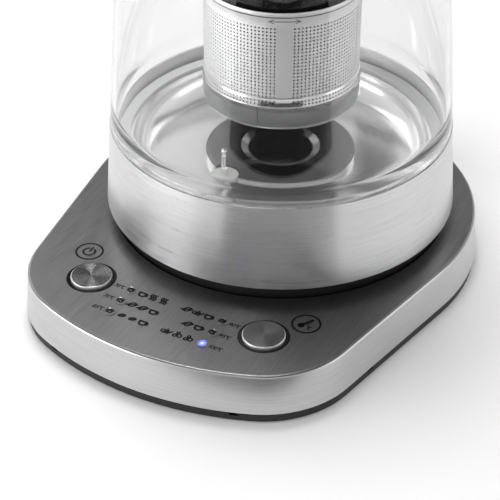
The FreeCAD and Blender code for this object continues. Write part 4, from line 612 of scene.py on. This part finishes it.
def make_strainer_basket():
    """Basket of perforated sheet with a rolled rim, closed by its floor."""
    sheet = Sheet()
    outer, inner = BASKET_RADIUS, BASKET_RADIUS - BASKET_SHEET
    top = HOLES_FROM + HOLE_PITCH * HOLE_ROWS
    outside, inside = sheet.perforate((outer, HOLES_FROM), (outer, top), HOLE_ROWS, BASKET_SHEET)
    bead = 0.35
    sheet.lathe([(outer, BASKET_TOP - 2.4), (outer + bead * 0.7, BASKET_TOP - 1.9),
                 (outer + bead, BASKET_TOP - 1.2), (outer + bead, BASKET_TOP - 0.4),
                 (outer + bead * 0.4, BASKET_TOP), (inner + 0.2, BASKET_TOP),
                 (inner, BASKET_TOP - 0.3), (inner, BASKET_TOP - 2.4)], outside[1], inside[1])
    bend = 1.2
    centre_high = [(radius, BASKET_FLOOR + BASKET_SHEET) for radius in (30.0, 15.0, 0.4)]
    centre_low = [(radius, BASKET_FLOOR) for radius in (0.4, 15.0, 30.0)]
    sheet.lathe([(inner, BASKET_FLOOR + bend), (inner - bend * 0.3, BASKET_FLOOR + bend * 0.6)]
                + centre_high + centre_low
                + [(outer - bend, BASKET_FLOOR), (outer, BASKET_FLOOR + bend)],
                inside[0], outside[0])
    basket = piece("strainer_basket_perforated", sheet.points, sheet.faces, [STEEL_STRAINER],
                   "strainer", smooth=40)
    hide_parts("strainer_basket")


def make_basket_tabs():
    """Three tabs inside the rim that turn onto the holder's lugs."""
    tabs, length, steps = 3, math.radians(22), 6
    inner, outer, low, high = 31.5, 32.9, 126.2, 127.6
    points, faces = [], []
    for turn in range(tabs):
        start = math.tau * turn / tabs
        rings = []
        for k in range(steps + 1):
            angle = start + length * k / steps
            rings.append(range(len(points), len(points) + 4))
            points += [on_ring(radius, angle, height) for radius, height in
                       ((inner, low), (outer, low), (outer, high), (inner, high))]
        for one, two in zip(rings, rings[1:]):
            for k in range(4):
                faces.append([one[k], one[(k + 1) % 4], two[(k + 1) % 4], two[k]])
        faces += [list(rings[0])[::-1], list(rings[-1])]
    piece("strainer_basket_tabs", points, faces, [STEEL_STRAINER], "strainer")


def make_strainer_foot():
    """Polished cup around the basket's lower end; its shoulder lets water through too."""
    sheet = Sheet()
    shoulder, neck, corner, sill = (34.02, 91.2), (33.6, 94.3), (34.1, 81.6), 80.0
    outside, inside = sheet.perforate(shoulder, neck, 2, 0.12)
    sheet.lathe([(33.45, 94.5), (33.38, 94.9), (33.36, 95.1), (33.34, 95.1)], outside[1],
                inside[1])
    bottom = [(34.08, 91.05), (34.1, 90.8), (34.08, 90.4), (33.95, 90.1), (33.92, 88.0),
              (33.98, 84.0), (34.1, 81.9), corner]
    bottom += arc(corner, (32.5, sill), -1.6, 6)[1:]
    underside = [(29.0, sill), (29.0, 80.5), (33.35, 80.55)]
    sheet.lathe(bottom + underside, outside[0], inside[0])
    foot = piece("strainer_foot_polished", sheet.points, sheet.faces, [STEEL_FOOT], "strainer",
                 smooth=30)
    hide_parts("strainer_foot")


make_strainer_basket()
make_basket_tabs()
make_strainer_foot()


# ---- probe and screws -------------------------------------------------------------------------

def make_probe_tip():
    """Polished ball with a short neck on the temperature probe's pin."""
    profile = [(0.0, 61.56), (0.75, 61.58), (0.8, 62.1)]
    profile += arc((0.8, 62.1), (0.0, 64.3), 1.2, 9)
    points, faces = turned(profile, 32, (-10.5, -31.8), closed=False)
    piece("probe_tip_ball", points, faces, [STEEL_PIN], "jug", smooth=50)


def make_screw_heads():
    """Pan-head screws with a cross recess, seen from below."""
    sides, front, recess, circle = 32, 0.18, 0.75, 78.2
    places = [(-60.0, -64.0), (60.0, -64.0)]
    places += [(circle * math.cos(math.radians(a)), circle * math.sin(math.radians(a)))
               for a in (32.5, 147.5)]
    head = [(2.9, 0.95), (2.9, 0.6), (2.6, 0.3), (2.0, front)]
    arm, slot_side = 1.25, 0.32
    cross = [(slot_side, arm), (-slot_side, arm), (-slot_side, slot_side), (-arm, slot_side),
             (-arm, -slot_side), (-slot_side, -slot_side), (-slot_side, -arm), (slot_side, -arm),
             (slot_side, -slot_side), (arm, -slot_side), (arm, slot_side), (slot_side, slot_side)]
    corners = len(cross)
    for number, (x, y) in enumerate(places, start=1):
        points, faces = turned(head, sides, (x, y), closed=False)
        faces = [face[::-1] for face in faces]
        rim = [Vector((p[0] / MM - x, p[1] / MM - y)) for p in points[-sides:]]
        start = len(points)
        for height in (front, recess):
            points += [((x + px) * MM, (y + py) * MM, height * MM) for px, py in cross]
        for one, two, three in zipper([tuple(p) for p in rim], cross):
            faces.append([(start if ring == "i" else start - sides) + k
                          for ring, k in (three, two, one)])
        bottom = start + corners
        for k in range(corners):
            after = (k + 1) % corners
            faces.append([start + k, bottom + k, bottom + after, start + after])
        faces.append([bottom + k for k in range(corners)][::-1])
        piece("screw_head_%d" % number, points, faces, [STEEL_SCREW], "base",
              smooth=40)


make_probe_tip()
make_screw_heads()


# ---- lamps on the panel -----------------------------------------------------------------------

def make_lamp(name, place, bezel, lens):
    """Bright ring pressed around a small domed lens."""
    low, crest, rim, sides = 22.93, PAN_TOP + 0.42, 1.4, 40
    ring = [(1.93, low), (1.93, PAN_TOP + 0.12), (1.86, crest - 0.08), (1.74, crest),
            (1.58, crest - 0.05), (rim, PAN_TOP + 0.05), (rim, low)]
    points, faces = turned(ring, sides, place)
    kinds = [0] * len(faces)
    dome = [(rim - 0.02, low)] + arc((rim - 0.02, PAN_TOP - 0.05), (0, PAN_TOP + 0.4), 2.0, 6)
    more, dome_faces = turned(dome, sides, place, closed=False)
    shift = len(points)
    faces += [[k + shift for k in face] for face in dome_faces]
    kinds += [1] * len(dome_faces)
    piece(name, points + more, faces, [bezel, lens], "base", smooth=40,
          kinds=kinds)


for degrees, place in zip((70, 75, 85, 90, 95, 100),
                          [(x, y) for x in (-LAMP_X, LAMP_X) for y in LAMP_ROWS]):
    # The lit lamp's ring is given a faint glow: painted light from its lens.
    finishes = (RING_PAINTED_GLOW, LIT) if place == LIT_LAMP else (LAMP_RING, LENS_DARK)
    make_lamp("panel_lamp_%d" % degrees, place, *finishes)


# ---- prints -----------------------------------------------------------------------------------

PRINT_HEIGHT = PAN_TOP + 0.03
PROUD = 0.02               # how far a mark on the basket stands off its wall


def loop(x, y, wide, tall, start=0, sweep=360, steps=18):
    """Points along an oval around (x, y); a full turn ends on the point it starts from."""
    line = [(x + wide * math.cos(math.radians(start + sweep * k / steps)),
             y + tall * math.sin(math.radians(start + sweep * k / steps)))
            for k in range(steps + 1)]
    return line[:-1] + line[:1] if sweep == 360 else line


# Each sign of the print: how far it moves on, and its lines, for a height of 1.
SIGNS = {
    "0": (0.8, [loop(0.3, 0, 0.27, 0.5)]),
    "1": (0.5, [[(0.02, 0.28), (0.22, 0.5), (0.22, -0.5)]]),
    "5": (0.8, [[(0.55, 0.5), (0.12, 0.5), (0.06, 0.04)]
                + loop(0.28, -0.18, 0.27, 0.32, 110, -250, 12)]),
    "7": (0.78, [[(0.04, 0.5), (0.58, 0.5), (0.22, -0.5)]]),
    "8": (0.8, [loop(0.3, 0.25, 0.22, 0.24), loop(0.3, -0.24, 0.27, 0.26)]),
    "9": (0.8, [loop(0.3, 0.22, 0.26, 0.28), [(0.56, 0.2), (0.5, -0.22), (0.16, -0.5)]]),
    "°": (0.42, [loop(0.14, 0.38, 0.12, 0.13, steps=10)]),
    "C": (0.7, [loop(0.34, 0, 0.3, 0.5, 50, 260)]),
}


class Print:
    """Flat ink shapes, drawn in millimetres in a plane and then laid on a surface."""

    def __init__(self, lay):
        self.points, self.faces, self.lay = [], [], lay
        self.where, self.scale = (0, 0), 1.0       # where the next drawing goes, and its size
        self.weight = 1.0                          # how heavy its lines are

    def add(self, points, faces):
        start = len(self.points)
        self.points += [self.lay(x * self.scale + self.where[0], y * self.scale + self.where[1])
                        for x, y in points]
        self.faces += [[start + k for k in face] for face in faces]

    def disc(self, middle, radius, sides=28):
        ring = [(middle[0] + radius * math.cos(math.tau * k / sides),
                 middle[1] + radius * math.sin(math.tau * k / sides)) for k in range(sides)]
        self.add(ring, [list(range(sides))])

    def stroke(self, line, width):
        """A line of even width with mitred corners: closed if it ends where it starts,
        else with round ends."""
        closed = line[0] == line[-1]
        line = [Vector(p) for p in (line[:-1] if closed else line)]
        count = len(line)
        width *= self.weight
        sides = []
        for k, here in enumerate(line):
            before = line[k - 1] if k or closed else None
            after = line[(k + 1) % count] if k < count - 1 or closed else None
            ways = [(b - a).normalized() for a, b in ((before, here), (here, after))
                    if a is not None and b is not None]
            way = sum(ways, Vector((0, 0))).normalized()
            across = Vector((-way.y, way.x))
            across *= width / 2 / max(0.5, way.dot(ways[0]))
            sides += [here + across, here - across]
        runs = range(count if closed else count - 1)
        self.add([tuple(p) for p in sides],
                 [[2 * k, 2 * k + 1, (2 * k + 3) % (2 * count), (2 * k + 2) % (2 * count)]
                  for k in runs])
        if not closed:
            for end, inward in ((line[0], line[1]), (line[-1], line[-2])):
                start = math.atan2(*(end - inward).yx) - math.pi / 2
                half = [(end.x + width / 2 * math.cos(start + math.pi * k / 8),
                         end.y + width / 2 * math.sin(start + math.pi * k / 8))
                        for k in range(9)]
                self.add(half, [list(range(9))])

    def ring(self, middle, radius, width, start=0, sweep=360, steps=72):
        self.stroke(loop(*middle, radius, radius, start, sweep, steps), width)

    def text(self, body, left, middle, tall, width, lean=0.25):
        """Numbers drawn in strokes, from a left edge at a middle height."""
        for sign in body:
            advance, lines = SIGNS[sign]
            for line in lines:
                self.stroke([(left + tall * (x + lean * y), middle + tall * y) for x, y in line],
                            width)
            left += advance * tall

    def make(self, name, material, body, slot):
        piece(name, self.points, self.faces, [material], body)


def on_panel(x, y):
    return (x * MM, y * MM, PRINT_HEIGHT * MM)


def draw_cup(ink):
    ink.stroke([(-1.25, 0.55), (-1.05, -0.7), (-0.55, -1.15), (0.45, -1.15), (0.95, -0.7),
                (1.15, 0.55)], 0.5)
    ink.stroke([(-1.25, 0.55), (1.15, 0.55)], 0.5)
    ink.ring((1.25, -0.2), 0.5, 0.38, -80, 160, 8)


def draw_steam(ink):
    tall, steps = 2.6, 10
    for shift in (-0.8, 0.0, 0.8):
        ink.stroke([(0.3 * math.sin(math.tau * k / steps) + shift, -tall / 2 + tall * k / steps)
                    for k in range(steps + 1)], 0.45)


def draw_leaf(ink):
    edge = [(1.5 * math.cos(t), 0.95 * math.sin(t) ** 3 + 0.55 * math.cos(t))
            for t in (math.tau * k / 20 for k in range(20))]
    ink.stroke(edge + edge[:1], 0.42)
    ink.stroke([(-1.9, -0.75), (0.9, 0.35)], 0.4)


def draw_bean(ink):
    edge = [(1.35 * math.cos(t), 0.95 * math.sin(t) + 0.3 * math.cos(t))
            for t in (math.tau * k / 24 for k in range(24))]
    ink.add(edge, [list(range(24))])


def draw_pot(ink):
    ink.add([(-1.15, -1.2), (0.95, -1.2), (0.8, 0.7), (-0.9, 0.7)], [[0, 1, 2, 3]])
    ink.stroke([(0.95, -0.5), (1.7, 0.5)], 0.45)
    ink.disc((-0.05, 1.05), 0.32, 14)
    ink.ring((-1.2, -0.2), 0.6, 0.38, 100, 160, 8)


def draw_bubbles(ink):
    ink.ring((-0.75, -0.55), 0.55, 0.4, steps=16)
    ink.ring((0.65, -0.2), 0.7, 0.4, steps=18)
    ink.ring((-0.25, 0.9), 0.45, 0.36, steps=14)


# For each row of lamps, left and right: its number and the drawings beside it.
PANEL_ROWS = [
    (("70", (draw_cup, draw_steam, draw_steam)), ("90", (draw_leaf, draw_pot, draw_cup))),
    (("75", (draw_leaf, draw_leaf, draw_cup)), ("95", (draw_leaf, draw_cup))),
    (("85", (draw_bean, draw_bean, draw_cup)), ("100", (draw_pot, draw_bubbles, draw_bubbles))),
]


def print_panel():
    """Numbers beside the lamps and a short row of small drawings on their other side."""
    numbers, drawings = Print(on_panel), Print(on_panel)
    drawings.scale, drawings.weight = 1.34, 1.45
    step, tall, line = 5.1, 1.85, 0.42
    sides = ((-30.2, -16.2, 1), (25.3, 15.6, -1))      # number's left edge, first drawing, way on
    for y, row in zip(LAMP_ROWS, PANEL_ROWS):
        for (degrees, draws), (number_x, first_x, way) in zip(row, sides):
            numbers.text(degrees + "°C", number_x, y, tall, line)
            for k, draw in enumerate(draws[::way]):
                drawings.where = (first_x + way * step * k, y)
                draw(drawings)
    numbers.make("print_numbers", INK, "base", "black_tray_plastic")
    drawings.make("print_drawings", INK, "base", "black_tray_plastic")


def print_symbols():
    """Power sign and thermometer, each in its ring."""
    signs = Print(on_panel)
    out, y, around, line = 52.8, -76.5, 5.8, 0.95
    x = -out
    signs.ring((x, y), around, line)
    signs.ring((x, y - 0.2), 2.6, line, 122, 296, 40)
    signs.stroke([(x, y + 0.2), (x, y + 3.0)], line)
    x = out
    signs.ring((x, y), around, line)
    signs.disc((x - 1.5, y - 1.7), 1.5)
    signs.stroke([(x - 1.5, y - 1.7), (x + 1.3, y + 3.2)], 1.5)
    for k in range(3):
        aside, up = 0.45 * k, 0.8 * k
        signs.stroke([(x + 0.3 + aside, y - 0.1 + up), (x + 1.3 + aside, y - 0.7 + up)], 0.3)
    signs.text("°C", x + 1.1, y - 2.0, 2.0, 0.5, 0.15)
    signs.make("print_signs", INK, "base", "black_tray_plastic")


def around_axis(radius, degrees):
    """Lays a print around the z axis: x runs along the circle from the direction given."""
    middle = math.radians(degrees)
    return lambda x, y: on_ring(radius, middle + x / radius, y)


def print_strainer_arrow():
    """Open-headed double arrow marked into the basket's plain edge, for the way it turns."""
    mark = Print(around_axis(BASKET_RADIUS + PROUD, PLAIN_MIDDLE))
    height, reach, line, steps = ARROW_HEIGHT, 6.4, 0.4, 12
    barb, spread = reach - 1.9, 0.8
    mark.stroke([(-reach + 2 * reach * k / steps, height) for k in range(steps + 1)], line)
    for side in (-1, 1):
        mark.stroke([(side * barb, height + spread), (side * reach, height),
                     (side * barb, height - spread)], line)
    mark.make("strainer_basket_arrow", INK_FAINT, "strainer", "strainer_steel")


def make_strainer_seams():
    """Lapped edge of the basket's sheet and the short welded edge of its foot."""
    for name, turn, radius, low, high in (("basket", 6.0, BASKET_RADIUS + PROUD, 100.0, 132.5),
                                          ("foot", -79.2, 34.12, 82.0, 90.5)):
        seam = Print(around_axis(radius, turn))
        seam.stroke([(0, low), (0, high)], 0.35)
        seam.make("strainer_%s_seam" % name, STEEL_SCREW, "strainer", "strainer_steel")


print_panel()
print_symbols()
print_strainer_arrow()
make_strainer_seams()


# ---- stage ------------------------------------------------------------------------------------

CAMERA_AT = Vector((280.2, -537.4, 427.05)) * MM
CAMERA_FORWARD = Vector((-0.3923, 0.7130, -0.5812))
LENS = 115.2               # millimetres on a 36 mm sensor
FRONT = Vector((CAMERA_AT.x, CAMERA_AT.y, 0)).normalized()
FLOOR_SHARE = 0.12         # how much of the floor is plain white to the eye
CEILING = 0.1              # the ceiling's brightness, as metal mirrors it
ROOM = 0.42                # the room's brightness on matt surfaces
CARD_HALF = 29             # degrees on either side of the front that the floor's cards cover


def make_camera():
    data = bpy.data.cameras.new("camera")
    data.lens, data.sensor_width = LENS, 36.0
    camera = bpy.data.objects.new("camera", data)
    bpy.context.scene.collection.objects.link(camera)
    camera.location = CAMERA_AT
    camera.rotation_mode = "QUATERNION"
    camera.rotation_quaternion = CAMERA_FORWARD.to_track_quat("-Z", "Y")
    bpy.context.scene.camera = camera


def seen_by(tree, *kinds):
    """1 for rays of any of the kinds, else 0."""
    path = add(tree, "LightPath")
    total = path.outputs[kinds[0]]
    for kind in kinds[1:]:
        total = add(tree, "Math", {"operation": "MAXIMUM"},
                    {0: total, 1: path.outputs[kind]}).outputs["Value"]
    return total


def make_floor():
    """A wide pale sweep that is nearly white to the eye, with the object's shadow left in it."""
    mesh = bpy.data.meshes.new("floor")
    build = bmesh.new()
    bmesh.ops.create_circle(build, cap_ends=True, segments=96, radius=6.0)
    build.to_mesh(mesh)
    build.free()
    material, tree = new_material("floor_white_paper")
    matt = add(tree, "BsdfDiffuse", {"Color": colour("#ffffff")})
    bright = add(tree, "Emission", {"Color": [1, 1, 1, 1], "Strength": 1.0})
    share = add(tree, "Math", {"operation": "MULTIPLY", 1: FLOOR_SHARE},
                {0: seen_by(tree, "Is Camera Ray", "Is Glossy Ray", "Is Transmission Ray")})
    mixed = add(tree, "MixShader", links={
        0: share.outputs["Value"], 1: matt.outputs["BSDF"], 2: bright.outputs["Emission"]})
    close(tree, mixed.outputs["Shader"])
    mesh.materials.append(material)
    floor = bpy.data.objects.new("floor", mesh)
    bpy.context.scene.collection.objects.link(floor)


def towards(turn):
    return Matrix.Rotation(math.radians(turn), 3, "Z") @ FRONT


def softbox(name, turn, height, distance, width, tall, watts, aim=0.08):
    """Area lamp at turn degrees from the front, anticlockwise from above, facing the jug."""
    data = bpy.data.lights.new(name, "AREA")
    data.shape = "RECTANGLE"
    data.size, data.size_y, data.energy = width, tall, watts
    lamp = bpy.data.objects.new(name, data)
    bpy.context.scene.collection.objects.link(lamp)
    lamp.location = towards(turn) * distance + Vector((0, 0, height))
    lamp.rotation_mode = "QUATERNION"
    lamp.rotation_quaternion = (Vector((0, 0, aim)) - lamp.location).to_track_quat("-Z", "Y")


def make_lamp_glow():
    """Faint violet-blue light on the pan around the lit lens."""
    data = bpy.data.lights.new("lamp_glow", "POINT")
    data.color, data.energy, data.shadow_soft_size = colour("#4a52ff")[:3], 0.00005, 0.002
    lamp = bpy.data.objects.new("lamp_glow", data)
    lamp.location = (LIT_LAMP[0] * MM, LIT_LAMP[1] * MM, (PAN_TOP + 1.1) * MM)
    bpy.context.scene.collection.objects.link(lamp)


def card(name, corners, strength, in_glass):
    """Flat grey card, seen in a first mirror image only; in_glass: through glass as well."""
    mesh = bpy.data.meshes.new(name)
    mesh.from_pydata([tuple(c) for c in corners], [], [range(len(corners))])
    material, tree = new_material(name)
    grey = add(tree, "Emission", {"Color": [1, 1, 1, 1], "Strength": strength})
    mirrored = add(tree, "Math", {"operation": "COMPARE", 1: 1.0, 2: 0.4},
                   {0: add(tree, "LightPath").outputs["Glossy Depth"]})
    shown = add(tree, "MixShader", links={
        0: mirrored.outputs["Value"], 1: add(tree, "BsdfTransparent").outputs["BSDF"],
        2: grey.outputs["Emission"]})
    close(tree, shown.outputs["Shader"])
    mesh.materials.append(material)
    item = bpy.data.objects.new(name, mesh)
    bpy.context.scene.collection.objects.link(item)
    for ray in ("camera", "diffuse", "shadow", "volume_scatter"):
        setattr(item, "visible_" + ray, False)
    item.visible_transmission = in_glass


def make_world():
    """Even grey room; in metal it is a white sweep that ends in a dark ceiling."""
    world = bpy.data.worlds.new("studio")
    world.use_nodes = True
    bpy.context.scene.world = world
    tree = world.node_tree
    tree.nodes.clear()
    up = add(tree, "SeparateXYZ", links={
        "Vector": add(tree, "TexCoord").outputs["Generated"]}).outputs["Z"]
    sweep = add(tree, "MapRange", {
        "interpolation_type": "SMOOTHSTEP", "From Min": 0.2, "From Max": 0.56,
        "To Min": 1.0, "To Max": CEILING}, {"Value": up})
    behind_glass = add(tree, "MapRange", {
        "interpolation_type": "SMOOTHSTEP", "From Min": 0.4, "From Max": 0.6,
        "To Min": 1.0, "To Max": 0.85}, {"Value": up})
    room = add(tree, "Background", {"Color": [1, 1, 1, 1], "Strength": ROOM})
    mirrored = add(tree, "Background", links={"Color": sweep.outputs["Result"]})
    through = add(tree, "Background", links={"Color": behind_glass.outputs["Result"]})
    white = add(tree, "Background", {"Color": [1, 1, 1, 1]})
    in_metal = add(tree, "MixShader", links={
        0: seen_by(tree, "Is Glossy Ray"), 1: room.outputs["Background"],
        2: mirrored.outputs["Background"]})
    in_glass = add(tree, "MixShader", links={
        0: seen_by(tree, "Is Transmission Ray"), 1: in_metal.outputs["Shader"],
        2: through.outputs["Background"]})
    mixed = add(tree, "MixShader", links={
        0: seen_by(tree, "Is Camera Ray"), 1: in_glass.outputs["Shader"],
        2: white.outputs["Background"]})
    add(tree, "OutputWorld", links={"Surface": mixed.outputs["Shader"]})


make_camera()
make_floor()
make_world()
softbox("back_left", -140, 0.9, 1.1, 0.7, 0.7, 2.4)
softbox("back_right", 140, 0.9, 1.1, 0.7, 0.7, 1.5)
softbox("overhead", 200, 1.3, 0.3, 0.4, 0.4, 8.0)
softbox("side_left", -68, 0.15, 0.8, 0.5, 0.3, 2.6)
softbox("side_right", 78, 0.22, 0.8, 0.45, 0.4, 0.6)
softbox("edge_front", -30, 1.0, 0.6, 0.3, 0.3, 0.7)

make_lamp_glow()
for name, near, far, in_glass in (("card_front", 0.172, 0.215, False),
                                  ("card_far", 0.275, 0.75, True)):
    card(name, [towards(t) * d + Vector((0, 0, 0.002))
                for t, d in ((-CARD_HALF, near), (-CARD_HALF, far), (CARD_HALF, far),
                             (CARD_HALF, near))], 0.02, in_glass)
card("card_back", [towards(180) * 0.6 + towards(90) * x + Vector((0, 0, z))
                   for x, z in ((-0.05, 0.33), (-0.05, 0.9), (0.05, 0.9), (0.05, 0.33))], 0.0, True)

bpy.context.scene.view_settings.view_transform = "Standard"
